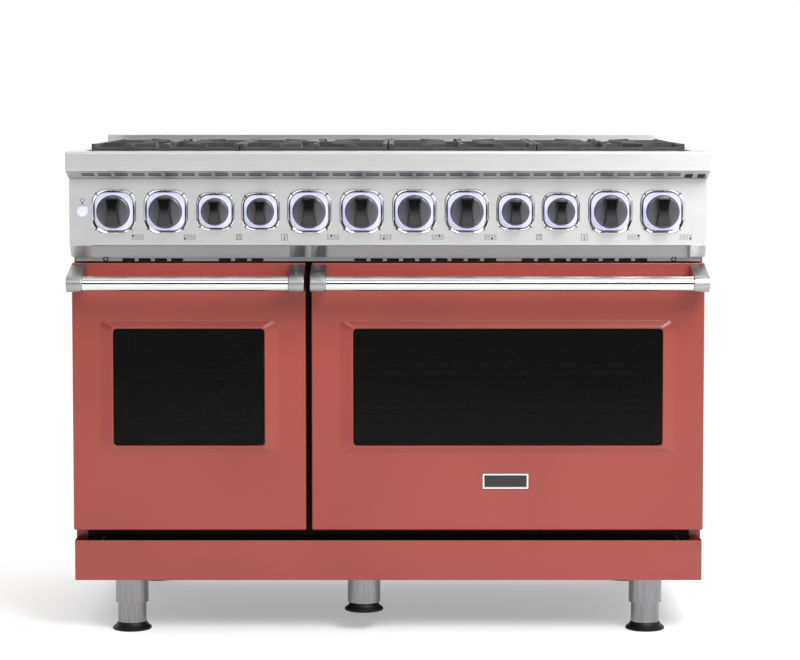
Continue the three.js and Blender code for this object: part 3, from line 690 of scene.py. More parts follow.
# %% Kick plate and pan edges
KICK_HALF, KICK_FRONT, KICK_BACK = 606, -279, -241
KICK_LOW, KICK_TOP = 104, 181.5
bm = bmesh.new()
plan = [(-KICK_HALF, KICK_BACK), (-KICK_HALF, KICK_FRONT), (KICK_HALF, KICK_FRONT), (KICK_HALF, KICK_BACK)]
points = [bm.verts.new(point(x, y, KICK_LOW)) for x, y in plan]
made = bmesh.ops.extrude_edge_only(bm, edges=[bm.edges.new(ends) for ends in zip(points, points[1:])])
bmesh.ops.translate(bm, verts=corners_of(made), vec=(0, 0, mm(KICK_TOP - KICK_LOW)))
soften(bm, mm(2.5), 5)
finish_piece("kick_plate_bent", bm, terracotta, "range_body", ["kick_plate"], wall=mm(1),
             outward=TO_FRONT)
# strips in the maroon painted shade, which keep the gap under the side panels dark
bm = bmesh.new()
for middle in (-602.7, 602.7):
    block(bm, point(middle - 2.4, -236, 106.1), point(middle + 2.4, 349, 107.5))
soften(bm, mm(0.4), 2)
finish_piece("base_pan_edges", bm, maroon_shade_enamel, "range_body")

# %% [markdown]
# ## Ledge, panel and trims
# The landing ledge is folded from one sheet: a flat front face, a round top edge and a slanted face
# below. A vent strip with two rows of short slots covers the slant. A punched slot shows as a dark dash,
# so each one here is a thin dark plate with the slot's own outline, set in the strip: painted shade for
# the hole.

# %% Landing ledge
LEDGE_HALF = 608
bm = bmesh.new()
ledge = [(-298, 934)]
for i in range(9):
    turn = math.radians(90 + 90 * i / 8)
    ledge.append((-354 + 4 * math.cos(turn), 930 + 4 * math.sin(turn)))
ledge += [(-358, 899.5), (-357.2, 898), (-310, 882.2), (-299, 882)]
along_x(bm, [(mm(y), mm(z)) for y, z in ledge], mm(-LEDGE_HALF), mm(LEDGE_HALF))
end_edges = [e for e in bm.edges if all(abs(abs(v.co.x) - mm(LEDGE_HALF)) < mm(0.1) for v in e.verts)]
soften(bm, mm(0.7), 2, end_edges)
finish_piece("landing_ledge_folded", bm, brushed_steel, "range_body", ["landing_ledge"])

SLANT = Vector(point(0, 47.2, -15.8)).normalized()
SLANT_START = Vector(point(0, -357.2, 898))


def on_slant(x, down):
    return SLANT_START + SLANT * mm(down) + Vector((mm(x), 0, 0))


SLOT_TURN = Matrix.Rotation(math.atan2(-15.8, 47.2), 4, "X")
# the vent strip takes the darkened steel, painted shade
bm = bmesh.new()
strip_place = Matrix.Translation(on_slant(0, 24.9)) @ SLOT_TURN @ stretch(1215.6, 49, 0.24)
bmesh.ops.create_cube(bm, size=1, matrix=strip_place)
finish_piece("ledge_vent_strip", bm, shaded_steel, "range_body")
# thin dark plates: painted shade in the ledge's slots
bm = bmesh.new()
SLOT_PITCH, SLOT_LONG = 31.7, 24.8
for row in (20, 29.7):
    for i in range(36):
        at = on_slant(-568 + i * SLOT_PITCH, row)
        place = Matrix.Translation(at) @ SLOT_TURN @ stretch(SLOT_LONG, 6, 0.5)
        bmesh.ops.create_cube(bm, size=1, matrix=place)
for x in (570, 594):
    place = Matrix.Translation(on_slant(x, 34)) @ SLOT_TURN @ stretch(15, 25, 0.5)
    bmesh.ops.create_cube(bm, size=1, matrix=place)
finish_piece("ledge_vent_slots", bm, frit_and_slot_shade, "range_body")

# %% [markdown]
# The control panel is a flat brushed sheet that folds back below. The fold is a separate strip here,
# because its grain is finer: it mirrors the handles. Its steel is darker than the panel's, which is
# painted shade, as the fold faces down. Round holes pass the knob stems, so the panel keeps its plain
# solid, and the strip lies 0.2 mm in front of it.

# %% Control panel and its slanted return
dress("control_panel", brushed_steel, 0.5)
bm = bmesh.new()
fold = [(-309, 754.4), (-309.1, 753.6), (-289.4, 731), (-286.2, 730.9), (-308, 753.4)]
along_x(bm, [(mm(y), mm(z)) for y, z in fold], mm(-566), mm(577))
finish_piece("panel_return_strip", bm, shaded_fine_steel, "range_body")

# %% [markdown]
# The vent trim sits between the panel and the doors. It is an angle with rows of slots in its face,
# which let hot air out, and two screws that hold it. Each slot is a thin dark plate, painted shade for
# the hole.

# %% Vent trim
# the trim and its screws take the darkened steel, painted shade
bm = bmesh.new()
trim = [(-276, 730.4), (-276.6, 729.6), (-276.6, 722.2), (-276, 721.8), (-241, 721.8), (-241, 722.8),
        (-275, 722.8), (-275, 730.4)]
along_x(bm, [(mm(y), mm(z)) for y, z in trim], mm(-600), mm(600))
finish_piece("vent_trim_folded", bm, shaded_steel, "range_body", ["vent_trim"])
# thin dark plates: painted shade in the trim's slots
bm = bmesh.new()
starts = [-510 + 31.1 * i for i in range(4)] + [-325 + 31.1 * i for i in range(3)]
starts += [-65 + 31.1 * i for i in range(9)] + [256 + 31.1 * i for i in range(8)]
for x in starts:
    block(bm, point(x, -276.9, 722.4), point(x + 23.5, -276.4, 727.6))
soften(bm, mm(0.15), 1)
finish_piece("vent_trim_slots", bm, frit_and_slot_shade, "range_body")


def screw_head(name, x, y, z, radius=3.4, high=1.8):
    """A pan-head screw: its profile runs from the seat over the rim to the crown."""
    bm = bmesh.new()
    profile = [(0, 0), (radius, 0), (radius, high * 0.35), (radius * 0.8, high * 0.8), (radius * 0.4, high),
               (0, high)]
    turned(bm, profile, point(x, y, z), FORWARD, 20)
    finish_piece(name, bm, shaded_steel, "range_body")


for i, (x, z) in enumerate([(-542, 726.3), (548, 726.3)]):
    number = str(i + 1)
    screw_head("vent_trim_screw_" + number, x, -276.9, z)
    # a thin black ring round each screw head
    bm = bmesh.new()
    screw_ring = [(3.6, 0), (5.2, 0), (5.2, 0.8), (3.6, 0.8), (3.6, 0)]
    turned(bm, screw_ring, point(x, -276.7, z), FORWARD, 24)
    finish_piece("vent_trim_screw_ring_" + number, bm, polypropylene, "range_body")
print("pieces so far:", len(pieces))

# %% [markdown]
# ## Controls
# Twelve knobs sit on the panel. A knob is a charcoal skirt with a raised black grip across it. Both are
# moulded, so their edges have small radii. The skirt is turned as on a lathe. The grip is a block,
# pinched at its waist and curved along its front. Each knob turns in its own bezel, a chrome frame round
# a lit square plate.

# %% Knobs
PANEL_Y = -309
KNOB_Z = 819
BURNER_RADIUS, OVEN_RADIUS = 32, 26.5
CROWN_TOP, CROWN_LOW = 1.6, 5
knobs = [(-522, 1), (-423, 1), (-329, 0), (-242.5, 0), (-150, 1), (-50, 1)]
knobs += [(-x, is_burner) for x, is_burner in reversed(knobs)]


def knob_shape(name, x, radius, body, node):
    k = radius / BURNER_RADIUS
    # the stem is a piece of its own, cut from steel bar
    bm = bmesh.new()
    rod(bm, point(x, PANEL_Y + 8, KNOB_Z), point(x, PANEL_Y - 9.5, KNOB_Z), mm(3.9), 20)
    finish_piece(name + "_stem", bm, galvanised, body)
    bm = bmesh.new()
    skirt = [(0, 10.2), (0.93, 10.2), (0.985, 10.8), (1, 12), (1, 17), (0.985, 19.2), (0.95, 20.4),
             (0.9, 21.3), (0.84, 22), (0, 22.6)]
    turned(bm, [(radius * share, height) for share, height in skirt], point(x, PANEL_Y, KNOB_Z), FORWARD, 72)
    finish_piece(name + "_skirt", bm, knob_grey, body, [node])
    # the grip: pinched at its waist, crowned along its length and rounded at its edges
    bm = bmesh.new()
    half_x, half_z = 16 * k, 27.3 * k
    block(
        bm, point(x - half_x, PANEL_Y - 39.8, KNOB_Z - half_z),
        point(x + half_x, PANEL_Y - 20, KNOB_Z + half_z),
    )
    lengthwise = [e for e in bm.edges if abs(e.verts[0].co.z - e.verts[1].co.z) > mm(10)]
    bmesh.ops.subdivide_edges(bm, edges=lengthwise, cuts=11, use_grid_fill=True)
    for v in bm.verts:
        along = (v.co.z - mm(KNOB_Z)) / mm(half_z)
        is_front = v.co.y < mm(PANEL_Y - 30)
        pinch = 0.74 + 0.26 * along**2
        v.co.x = mm(x) + (v.co.x - mm(x)) * pinch * (0.86 if is_front else 1)
        if is_front:
            v.co.y += mm(CROWN_TOP if along > 0 else CROWN_LOW) * along**2
    soften(bm, mm(2.2), 4)
    finish_piece(name + "_grip", bm, phenolic, body)


knob_grey, tree, shader = new_finish(
    "phenolic resin, charcoal, satin", Roughness=0.3, IOR=1.55, Coat_Weight=0.3, Coat_Roughness=0.15,
)
tint(tree, stretched_noise(tree, 4), shader.inputs["Base Color"], "424246", "4a4a4e")
for i, (x, is_burner) in enumerate(knobs):
    name = "knob_%02d" % (i + 1)
    knob_shape(name, x, BURNER_RADIUS if is_burner else OVEN_RADIUS, name, name)

# %% [markdown]
# The bezel is pressed from thin steel and chromed. It is a square whose sides bulge and whose corners
# are round, with four clips at the corners and a pointer notch at the top. The lit plate lies inside it,
# and a thinner lit ring shines round the knob's skirt.

# %% Bezels and light plates
def square(x, half):
    """The low and high corners of a square round a knob's axis."""
    return pair((x - half, KNOB_Z - half), (x + half, KNOB_Z + half))


def bezel(name, x, outer, inner, skirt):
    y = PANEL_Y
    size = 2 * outer
    bm = bmesh.new()
    # six bands make the rolled section of the frame, from the panel to the plate
    section = [(outer, 0.2, 0.31), (outer, 1.8, 0.31), (outer - 0.6, 3.0, 0.305), (outer - 1.8, 3.7, 0.295),
               (outer - 3.2, 3.5, 0.28), (inner + 0.4, 2.2, 0.265), (inner, 1.2, 0.26)]
    squares = [(*square(x, half), mm(y - rise), mm(size * corner)) for half, rise, corner in section]
    for first, second in zip(squares, squares[1:]):
        ring_of_faces(bm, *first, *second, segments=8)
    finish_piece(name + "_bezel", bm, chrome, "range_body", wall=mm(0.4), outward=TO_FRONT)
    bm = bmesh.new()
    soft_rectangle(bm, *square(x, inner + 0.4), mm(y - 1.4), mm(size * 0.26), 8)
    finish_piece(name + "_light_plate", bm, lit_plate, "range_body", wall=mm(1),
                 outward=TO_FRONT)
    bm = bmesh.new()
    ring = [(-8, 1.6), (1.2, 1.6), (2.2, 2.2), (1.6, 3.0), (-8, 3.0), (-8, 1.6)]
    turned(bm, [(skirt + reach, height) for reach, height in ring], point(x, y, KNOB_Z), FORWARD, 64)
    finish_piece(name + "_light_ring", bm, lit_ring, "range_body")
    bm = bmesh.new()
    reach = outer * 0.775
    for sx in (-1, 1):
        for sz in (-1, 1):
            at = Vector(point(x + sx * reach, y - 3.5, KNOB_Z + sz * reach))
            turn = Matrix.Rotation(math.radians(45 * sx * sz), 4, "Y")
            size_clip = stretch(2.4, 0.9, 6.5)
            bmesh.ops.create_cube(bm, size=1, matrix=Matrix.Translation(at) @ turn @ size_clip)
    block(bm, point(x - 1, y - 3.9, KNOB_Z + outer - 4.6), point(x + 1, y - 3.1, KNOB_Z + outer - 0.8))
    soften(bm, mm(0.25), 2)
    finish_piece(name + "_bezel_clips", bm, phenolic, "range_body")


for i, (x, is_burner) in enumerate(knobs):
    sizes_mm = (42.3, 35.8, BURNER_RADIUS) if is_burner else (36.6, 30.8, OVEN_RADIUS)
    bezel("knob_%02d" % (i + 1), x, *sizes_mm)

# %% [markdown]
# Beside each knob is a small printed picture of what it turns on. A burner knob has the eight burners as
# rings in two rows, with its own one filled in. The oven knobs have an oven or a thermometer. The ink
# is screen printed, so each icon is a film of ink 0.1 mm thick, not part of the panel.

# %% Printed icons
INK_LOW, INK_HIGH = PANEL_Y - 0.12, PANEL_Y - 0.02


def ink_ring(bm, x, z, outer, inner):
    turned(bm, [(inner, 0.02), (outer, 0.02), (outer, 0.12), (inner, 0.12), (inner, 0.02)],
           point(x, PANEL_Y, z), FORWARD, 20)


def ink_dot(bm, x, z, radius):
    rod(bm, point(x, INK_LOW, z), point(x, INK_HIGH, z), mm(radius), 20)


def ink_box(bm, x0, x1, z0, z1):
    block(bm, point(x0, INK_LOW, z0), point(x1, INK_HIGH, z1))


def ink_outline(bm, x0, x1, z0, z1, line):
    ink_box(bm, x0, x1, z0, z0 + line)
    ink_box(bm, x0, x1, z1 - line, z1)
    ink_box(bm, x0, x0 + line, z0 + line + 0.02, z1 - line - 0.02)
    ink_box(bm, x1 - line, x1, z0 + line + 0.02, z1 - line - 0.02)


burner_of_knob = {0: (0, 0), 1: (0, 1), 4: (1, 0), 5: (1, 1), 6: (2, 0), 7: (2, 1), 10: (3, 0), 11: (3, 1)}
ICON_RIGHT, ICON_DOWN = 45, -49
for i, (x, is_burner) in enumerate(knobs):
    bm = bmesh.new()
    cx, cz = x + ICON_RIGHT, KNOB_Z + ICON_DOWN
    if is_burner:
        for column in range(4):
            for row in range(2):
                at = (cx + (column - 1.5) * 6.1, cz + (0.5 - row) * 5.6)
                if (column, row) == burner_of_knob[i]:
                    ink_dot(bm, *at, 2.3)
                else:
                    ink_ring(bm, *at, 2.3, 1.6)
    elif i in (2, 8):
        ink_outline(bm, cx - 5.5, cx + 5.5, cz - 5.5, cz + 5.5, 0.9)
        ink_outline(bm, cx - 3.2, cx + 3.2, cz - 3.4, cz + 1.4, 0.7)
        ink_box(bm, cx - 3.2, cx + 3.2, cz + 2.7, cz + 3.5)
    else:
        ink_outline(bm, cx - 6.2, cx + 6.2, cz - 6.2, cz + 6.2, 0.8)
        ink_ring(bm, cx, cz - 2.9, 1.9, 1.2)
        ink_dot(bm, cx, cz - 2.9, 0.7)
        for wall_x in (-1.2, 0.6):
            ink_box(bm, cx + wall_x, cx + wall_x + 0.6, cz - 1.3, cz + 4)
        for tick in range(3):
            ink_box(bm, cx + 2, cx + 3.6, cz - 0.2 + tick * 1.7, cz + 0.4 + tick * 1.7)
    finish_piece("knob_%02d_icon" % (i + 1), bm, ink, "range_body")

# %% [markdown]
# A small push button at the left switches the oven lamps. It is a lit cap inside a lit ring and a chrome
# collar, with a printed bulb above it.

# %% Lamp button
LAMP_X = -582
bm = bmesh.new()
turned(bm, [(0, -3.8), (8, -3.8), (9.4, -3), (9.4, 4.6), (8.9, 5.6), (8, 6), (0, 5.4)],
       point(LAMP_X, PANEL_Y, KNOB_Z), FORWARD, 40)
finish_piece("lamp_button_cap", bm, lit_plate, "lamp_button", ["lamp_button"])
bm = bmesh.new()
turned(bm, [(10.9, 0.1), (12, 0.1), (12, 1.6), (11.7, 2.2), (11.2, 2.2), (10.9, 1.6), (10.9, 0.1)],
       point(LAMP_X, PANEL_Y, KNOB_Z), FORWARD, 48)
finish_piece("lamp_button_collar", bm, chrome, "range_body")
bm = bmesh.new()
turned(bm, [(9.7, 0.3), (10.7, 0.3), (10.7, 1.8), (9.7, 1.8), (9.7, 0.3)],
       point(LAMP_X, PANEL_Y, KNOB_Z), FORWARD, 48)
finish_piece("lamp_button_light_ring", bm, lit_ring, "range_body")
bm = bmesh.new()
bulb_z = KNOB_Z + 21
ink_ring(bm, LAMP_X, bulb_z, 4.0, 3.0)
ink_box(bm, LAMP_X - 1.6, LAMP_X + 1.6, bulb_z - 6.6, bulb_z - 4.2)
finish_piece("lamp_button_icon", bm, ink, "range_body")
print("pieces so far:", len(pieces))

# %% [markdown]
# ## Cooktop
# The cooktop is a stainless pan with a deep black well. Eight burners stand in it under four grates. The
# well is enamelled, so it is lined here with its own thin piece. The rear trim has flue slots, and a dark
# duct stands under each slot.

# %% Spill well, rear trim and flue ducts
def open_tray(bm, low, high):
    """A box without its lid."""
    verts = block(bm, low, high)
    lid = max({f for v in verts for f in v.link_faces}, key=lambda f: f.calc_center_median().z)
    bmesh.ops.delete(bm, geom=[lid], context="FACES_ONLY")


WELL_LOW, WELL_HIGH = (-577.7, -291.7, 903.25), (577.7, 304.7, 934.1)
bm = bmesh.new()
open_tray(bm, [mm(v) for v in WELL_LOW], [mm(v) for v in WELL_HIGH])
floor_edges = [e for e in bm.edges if e.is_manifold]
soften(bm, mm(9), 4, floor_edges)
finish_piece("cooktop_well_liner", bm, black_enamel_and_slot_shade, "range_body", wall=mm(0.2),
             outward=(0, 0, 1))

dress("backguard", brushed_steel, 0.5)
bm = bmesh.new()
FLUES, FLUE_PITCH = 8, 140
for i in range(FLUES):
    x = (i - (FLUES - 1) / 2) * FLUE_PITCH
    open_tray(bm, point(x - 56, 341.2, 935), point(x + 56, 352.8, 953.2))
finish_piece("flue_ducts", bm, black_enamel_and_slot_shade, "range_body", wall=mm(0.3))

# %% [markdown]
# ### Grates
# Grates are cast in sand, so every bar is wider at its base than at its top, which lets the pattern out
# of the mould, and every edge is round. The front and rear rails dip between five lumps. Fingers run in
# from the rails and step down round each burner. A bar starts as a block, its top is narrowed, and the
# edges get a 1.3 mm radius.

# %% Grates
GRATE_TOP, GRATE_DIP, GRATE_LOW, GRATE_FOOT = 947.4, 940.5, 922.5, 903.4
GRATE_FRONT, GRATE_BACK = -290, 255
GRATE_PITCH, GRATE_HALF, RAIL_WIDE = 283.5, 140.75, 11
DRAFT = 0.72


def cast_bar(bm, start, end, width, low, high, end_drop=0):
    """An upright bar between two plan points, narrower at the top; its far end may be lower."""
    (ux, uy), (vx, vy) = start, end
    run = Vector((vx - ux, vy - uy, 0))
    size = Matrix.Diagonal((run.length, width, high - low, 1))
    middle = Vector(((ux + vx) / 2, (uy + vy) / 2, (low + high) / 2))
    turn = Matrix.Rotation(math.atan2(run.y, run.x), 4, "Z")
    verts = bmesh.ops.create_cube(bm, size=1, matrix=size)["verts"]
    for v in verts:
        if v.co.z > 0:
            v.co.y *= DRAFT
            if end_drop and v.co.x > 0:
                v.co.x -= end_drop * 0.7
    bmesh.ops.transform(
        bm, matrix=Matrix.Scale(mm(1), 4) @ Matrix.Translation(middle) @ turn, verts=verts,
    )
    return verts


def lumpy_rail(bm, centre, y):
    """A front or rear rail: one outline with five lumps, pushed along Y."""
    outline = [(-GRATE_HALF, GRATE_LOW)]
    for share in (-1, -0.5, 0, 0.5, 1):
        at = share * GRATE_HALF
        for reach, z in ((-12.5, GRATE_DIP), (-9.5, GRATE_DIP + 2.2), (-7.2, GRATE_TOP),
                         (7.2, GRATE_TOP), (9.5, GRATE_DIP + 2.2), (12.5, GRATE_DIP)):
            if abs(at + reach) <= GRATE_HALF:
                outline.append((at + reach, z))
            elif reach in (-7.2, 7.2):
                outline.append((math.copysign(GRATE_HALF, at), z))
    outline.append((GRATE_HALF, GRATE_LOW))
    points = [bm.verts.new(point(centre + x, y, z)) for x, z in outline]
    made = bmesh.ops.extrude_face_region(bm, geom=[bm.faces.new(points)], use_keep_orig=True)
    bmesh.ops.translate(bm, verts=corners_of(made), vec=(0, mm(RAIL_WIDE), 0))


for number in range(4):
    centre = (number - 1.5) * GRATE_PITCH
    bm = bmesh.new()
    lumpy_rail(bm, centre, GRATE_FRONT)
    lumpy_rail(bm, centre, GRATE_BACK - RAIL_WIDE)
    middle = (GRATE_FRONT + GRATE_BACK) / 2
    for side in (-1, 1):
        x = centre + side * (GRATE_HALF - RAIL_WIDE / 2)
        cast_bar(bm, (x, GRATE_FRONT + 3), (x, GRATE_BACK - 3), RAIL_WIDE, GRATE_LOW, GRATE_TOP - 0.4)
        for y in (GRATE_FRONT + 5.5, middle, GRATE_BACK - 5.5):
            rod(bm, point(x, y, GRATE_FOOT), point(x, y, GRATE_LOW + 1), mm(4.4), 12, mm(5.2))
    cast_bar(bm, (centre - GRATE_HALF + 2, middle), (centre + GRATE_HALF - 2, middle), RAIL_WIDE, GRATE_LOW,
             GRATE_TOP - 0.2)
    front_burner, rear_burner = (GRATE_FRONT + middle) / 2, (GRATE_BACK + middle) / 2
    starts = [(GRATE_FRONT + 5.5, front_burner), (middle, front_burner), (middle, rear_burner),
              (GRATE_BACK - 5.5, rear_burner)]
    for start_y, burner_y in starts:
        inward = math.copysign(1, burner_y - start_y)
        start_y += inward
        cast_bar(bm, (centre, start_y), (centre, burner_y - inward * 26), 9, GRATE_TOP - 16, GRATE_TOP, 8)
        # a deeper root under the finger, where it leaves the rail
        cast_bar(bm, (centre, start_y), (centre, burner_y - inward * 78), 9, GRATE_LOW, GRATE_TOP - 4, 14)
        for side in (-1, 1):
            root_x = centre + side * GRATE_HALF / 2
            tip = (centre + side * 30, burner_y - inward * 34)
            cast_bar(bm, (root_x, start_y), tip, 9, GRATE_TOP - 16, GRATE_TOP, 8)
    for burner_y in (front_burner, rear_burner):
        for side in (-1, 1):
            cast_bar(bm, (centre + side * (GRATE_HALF - 5), burner_y), (centre + side * 32, burner_y), 9,
                     GRATE_TOP - 16, GRATE_TOP, 8)
    soften(bm, mm(1.3), 2)
    name = "grate_" + str(number + 1)
    finish_piece(name + "_cast", bm, cast_iron, name, [name])

# %% [markdown]
# ### Burners
# A sealed burner is three parts: an aluminium base with a drip ring, a brass head with a row of ports,
# and a loose enamelled cap. A white ceramic igniter stands beside the head. Each is turned from its own
# profile. The ports are radial slots, drawn as dark slits let into the head: painted shade inside the
# ports.

# %% Burners
PORTS = 36
burner_nodes = [n for n in sorted(frame["nodes"]) if n.startswith("burner_")]
for node in burner_nodes:
    low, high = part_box(node)
    cx, cy = (low.x + high.x) / 2, (low.y + high.y) / 2
    at = (cx, cy, 0)
    bm = bmesh.new()
    turned(bm, [(0, 903.4), (56, 903.4), (57.6, 904), (57.8, 905), (56.6, 906.2), (51, 907), (49.5, 909),
                (45, 910.4), (0, 910.4)], at, steps=64)
    finish_piece(node + "_base", bm, aluminium, "range_body", [node])
    bm = bmesh.new()
    turned(bm, [(0, 910.5), (42.5, 910.5), (43.8, 911.3), (43.8, 918.6), (43, 919.6), (38, 920.4),
                (0, 920.4)], at, steps=72)
    finish_piece(node + "_head", bm, brass, "range_body")
    # dark slits: painted shade inside the ports
    bm = bmesh.new()
    for i in range(PORTS):
        turn = Matrix.Translation(at) @ Matrix.Rotation(math.tau * i / PORTS, 4, "Z")
        slit = Matrix.Translation(point(43.2, 0, 916.2)) @ stretch(1.6, 1.7, 4.4)
        bmesh.ops.create_cube(bm, size=1, matrix=turn @ slit)
    finish_piece(node + "_ports", bm, black_enamel_and_slot_shade, "range_body")
    bm = bmesh.new()
    turned(bm, [(0, 920.5), (44, 920.5), (46.8, 921.2), (47.8, 922.6), (47.4, 924.2), (45, 926.2),
                (38, 927.6), (24, 928.2), (0, 928.3)], at, steps=64)
    finish_piece(node + "_cap", bm, black_enamel_and_slot_shade, "range_body")
    bm = bmesh.new()
    turned(bm, [(0, 906), (3.2, 906), (3.2, 914), (2.4, 915), (1.2, 915.2), (1.2, 918.6), (0, 918.8)],
           (cx + mm(50.5), cy, 0), steps=16)
    finish_piece(node + "_igniter", bm, alumina, "range_body")
print("pieces so far:", len(pieces))

# %% [markdown]
# ## Inside the ovens
# When a door drops, the racks, the fan cover and the lamp show. A rack is welded from round wire and
# chromed: a thick frame, two thick cross bars in it, and thin wires 26 mm apart. The fan cover
# is a dished disc with a ring of slots, drawn as dark plates: painted shade inside the slots.

# %% Racks
for node in [n for n in sorted(frame["nodes"]) if n.startswith("rack_")]:
    low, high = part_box(node)
    thick, thin = mm(2.9), mm(1.6)
    z = low.z + thick
    bm = bmesh.new()
    x0, x1, y0, y1 = low.x + thick, high.x - thick, low.y + thick, high.y - thick
    for x in (x0, x1):
        rod(bm, (x, low.y, z), (x, high.y, z), thick, 12)
    for y in (y0, y1, y0 + mm(150), y1 - mm(150)):
        rod(bm, (x0, y, z), (x1, y, z), thick, 12)
    wires = round((x1 - x0) / mm(26))
    for i in range(1, wires):
        x = x0 + (x1 - x0) * i / wires
        rod(bm, (x, y0, z + mm(1.2)), (x, y1, z + mm(1.2)), thin, 8)
    finish_piece(node + "_wires", bm, chrome, "range_body", [node])

# %% Fan covers and lamps
FAN_SLOTS = 20
CAVITY_BACK, FAN_Z, OVEN_LAMP_Z = 229.5, 450, 600
for side, cx in {"left": -383, "right": 230}.items():
    bm = bmesh.new()
    dish = [(0, 0), (92, 0), (92, 3), (84, 9), (60, 10.5), (0, 10.5)]
    turned(bm, dish, point(cx, CAVITY_BACK, FAN_Z), FORWARD, 64)
    finish_piece("fan_cover_" + side, bm, oven_enamel, "range_body")
    # dark plates: painted shade inside the fan cover's slots
    bm = bmesh.new()
    for i in range(FAN_SLOTS):
        turn = Matrix.Rotation(math.tau * i / FAN_SLOTS, 4, "Y")
        slit = Matrix.Translation(point(48, 0, 0)) @ stretch(26, 0.6, 5)
        place = Matrix.Translation(point(cx, CAVITY_BACK - 10.7, FAN_Z)) @ turn
        bmesh.ops.create_cube(bm, size=1, matrix=place @ slit)
    finish_piece("fan_cover_slots_" + side, bm, black_enamel_and_slot_shade, "range_body")
    bm = bmesh.new()
    turned(bm, [(0, 0), (26, 0), (26, 4), (22, 6), (21, 12), (14, 18), (0, 20)],
           point(cx + 105, CAVITY_BACK, OVEN_LAMP_Z), FORWARD, 32)
    finish_piece("oven_lamp_" + side, bm, alumina, "range_body")

# %% [markdown]
# ## Legs
# Each leg is a bright tube that slides in a fixed sleeve, with a moulded pad that protects the floor.
# The tube and its pad screw up and down together. The sleeve stays on the range. Tube and sleeve are
# given a darker steel than the panel, which is painted shade under the range.

# %% Legs
SLEEVE = 31.05
feet = [n for n in sorted(frame["bodies"]) if n.startswith("foot_")]
for foot in feet:
    low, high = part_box(foot)
    at = ((low.x + high.x) / 2, (low.y + high.y) / 2, low.z)
    bm = bmesh.new()
    turned(bm, [(25.7, 8), (27.6, 8), (27.6, 97), (27, 98), (25.7, 98), (25.7, 8)], at, steps=64)
    finish_piece(foot + "_tube", bm, shaded_upright_steel, foot, [foot])
    bm = bmesh.new()
    turned(bm, [(0, 0), (36.4, 0), (37.7, 1), (37.7, 4), (36.6, 5.2), (33, 7.6), (29.6, 11.6), (28.4, 15),
                (27.7, 15.6), (27.7, 7.8), (0, 7.8)], at, steps=64)
    finish_piece(foot + "_pad", bm, polypropylene, foot)
    bm = bmesh.new()
    sleeve = [(0, 53.9), (0.5, 53.9), (0.9, 54.6), (0.9, 106), (0, 106), (0, 53.9)]
    turned(bm, [(SLEEVE + out, height) for out, height in sleeve], (at[0], at[1], 0), steps=64)
    finish_piece(foot + "_sleeve", bm, shaded_upright_steel, "range_body")

# %% [markdown]
# ## Back
# Nobody looks at the back once the range is in place, so it is plain galvanised sheet. Pressed louvres
# let heat out and hex screws hold it round the edge.

# %% Back panel
dress("back_panel", galvanised, 0.3, 1)
bm = bmesh.new()
LOUVRES, LOUVRE_PITCH = 9, 110
for row_z in (640, 670, 700, 730):
    for i in range(LOUVRES):
        x = (i - (LOUVRES - 1) / 2) * LOUVRE_PITCH
        verts = block(bm, point(x - 40, 353.7, row_z - 6), point(x + 40, 358.2, row_z + 6))
        for v in verts:
            if v.co.y > mm(355) and v.co.z > mm(row_z):
                v.co.y = mm(354)
soften(bm, mm(1.2), 3)
finish_piece("back_panel_louvres", bm, galvanised, "range_body")
BACKWARD = Matrix.Rotation(math.radians(-90), 4, "X")
spots = [(x, z) for x in range(-580, 581, 145) for z in (124, 884)]
spots += [(x, z) for x in (-594, 594) for z in (300, 500, 700)]
hex_head = [(0, 0), (6, 0), (6, 0.8), (4.4, 1), (4.4, 3.6), (3.8, 4.2), (0, 4.2)]
bm = bmesh.new()
for x, z in spots:
    turned(bm, hex_head, point(x, 353.8, z), BACKWARD, 6)
finish_piece("back_panel_screws", bm, galvanised, "range_body")
print("pieces so far:", len(pieces))

# %% [markdown]
# ## Studio
# A product picture needs a pale room: a white floor that runs into a white backdrop, and large soft
# lamps. Polished steel shows whatever stands around it, so the room matters as much as the metal: it is
# white above and behind, and dark in front, so that the bars get a crisp dark line. The key lamp is at
# the upper right, which leaves the left and lower slopes of the doors in shade. A fill lamp and a side
# lamp soften it.

# %% Floor and backdrop
plaster, tree, shader = new_finish(
    "studio floor, matt white acrylic, lit from below", Roughness=0.85, Emission_Strength=0.36,
)
shader.inputs["Emission Color"].default_value = srgb("ffffff")
tint(tree, stretched_noise(tree, 400, detail=1), shader.inputs["Base Color"], "d2d2d2", "d6d6d6")
bm = bmesh.new()
bmesh.ops.create_grid(bm, x_segments=2, y_segments=2, size=30)
mesh = bpy.data.meshes.new("studio_floor")
bm.to_mesh(mesh)
bm.free()
mesh.materials.append(plaster)
floor = bpy.data.objects.new("studio_floor", mesh)
bpy.context.scene.collection.objects.link(floor)

# %% [markdown]
# The view transform is the plain one, so that a colour chosen for a surface is the colour seen.

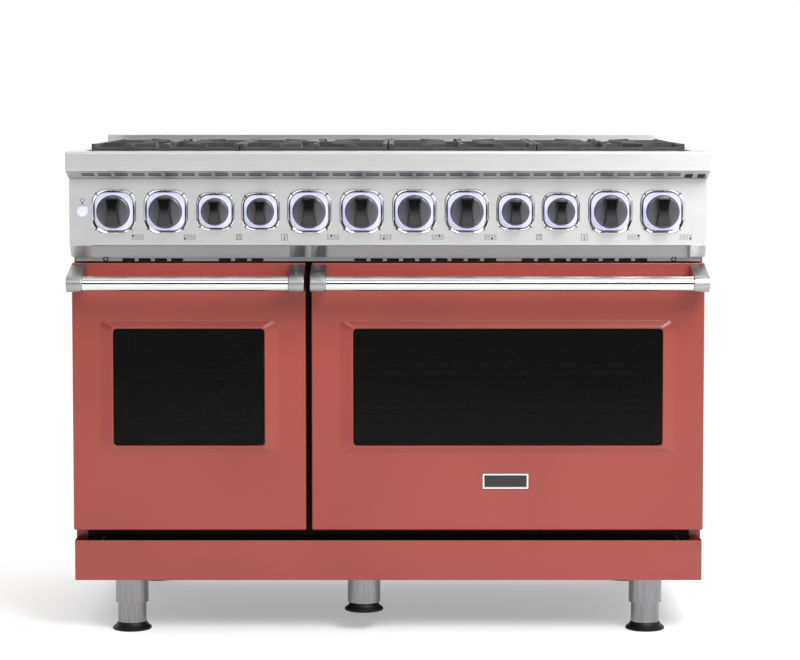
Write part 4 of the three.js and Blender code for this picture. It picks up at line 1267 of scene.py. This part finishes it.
# %% Sky, lamps and camera
scene = bpy.context.scene
scene.view_settings.view_transform = "Standard"
world = bpy.data.worlds.new("white room")
scene.world = world
world.use_nodes = True
sky = world.node_tree
room = sky.nodes["Background"]
room.inputs["Strength"].default_value = 1.2
toward = add_node(sky, "ShaderNodeSeparateXYZ", None,
                  {"Vector": add_node(sky, "ShaderNodeTexCoord").outputs["Generated"]})
leaning = add_node(sky, "ShaderNodeMath", {"operation": "MULTIPLY_ADD", 1: 0.35},
                   {0: toward.outputs["X"], 2: toward.outputs["Z"]})
lifted = add_node(sky, "ShaderNodeMath", {"operation": "ADD"},
                  {0: toward.outputs["Y"], 1: leaning.outputs["Value"]})
tint(sky, lifted.outputs["Value"], room.inputs["Color"], "202022", "ffffff", -0.5, 0.7)
backdrop = add_node(sky, "ShaderNodeBackground", {"Color": srgb("ffffff"), "Strength": 1.05})
seen = add_node(sky, "ShaderNodeMixShader", None, {
    0: add_node(sky, "ShaderNodeLightPath").outputs["Is Camera Ray"],
    1: room.outputs["Background"], 2: backdrop.outputs["Background"],
})
sky.links.new(seen.outputs["Shader"], sky.nodes["World Output"].inputs["Surface"])


def soft_lamp(name, place, target, width, depth, watts):
    lamp = bpy.data.lights.new(name, "AREA")
    lamp.shape = "RECTANGLE"
    lamp.size, lamp.size_y, lamp.energy = width, depth, watts
    holder = bpy.data.objects.new(name, lamp)
    holder.location = place
    holder.rotation_euler = (Vector(target) - Vector(place)).to_track_quat("-Z", "Y").to_euler()
    scene.collection.objects.link(holder)


soft_lamp("key lamp", (1.5, -2.8, 3.0), (0, 0, 0.5), 1.8, 1.8, 128)
soft_lamp("fill lamp", (-0.6, -3.6, 2.6), (0, 0, 0.7), 2.6, 1.0, 30)
soft_lamp("side lamp", (3.4, -2.0, 1.6), (0, 0, 0.5), 1.6, 2.2, 18)

camera = bpy.data.objects.new("camera", bpy.data.cameras.new("camera"))
camera.data.lens = 118.6
camera.data.sensor_width = 36
camera.data.shift_x, camera.data.shift_y = -0.011, -0.0655
camera.location = (0.0395, -5.324, 1.0434)
camera.rotation_euler = (math.radians(90 - 4), 0, 0)
scene.collection.objects.link(camera)
scene.camera = camera

# %% [markdown]
# ## Count the pieces
# The dressed range must stay inside the plain frame's box. The last cell prints how many faces and
# pieces were made.

# %% Count faces and pieces
print("faces:", sum(len(piece.data.polygons) for piece in pieces), "pieces:", len(pieces))
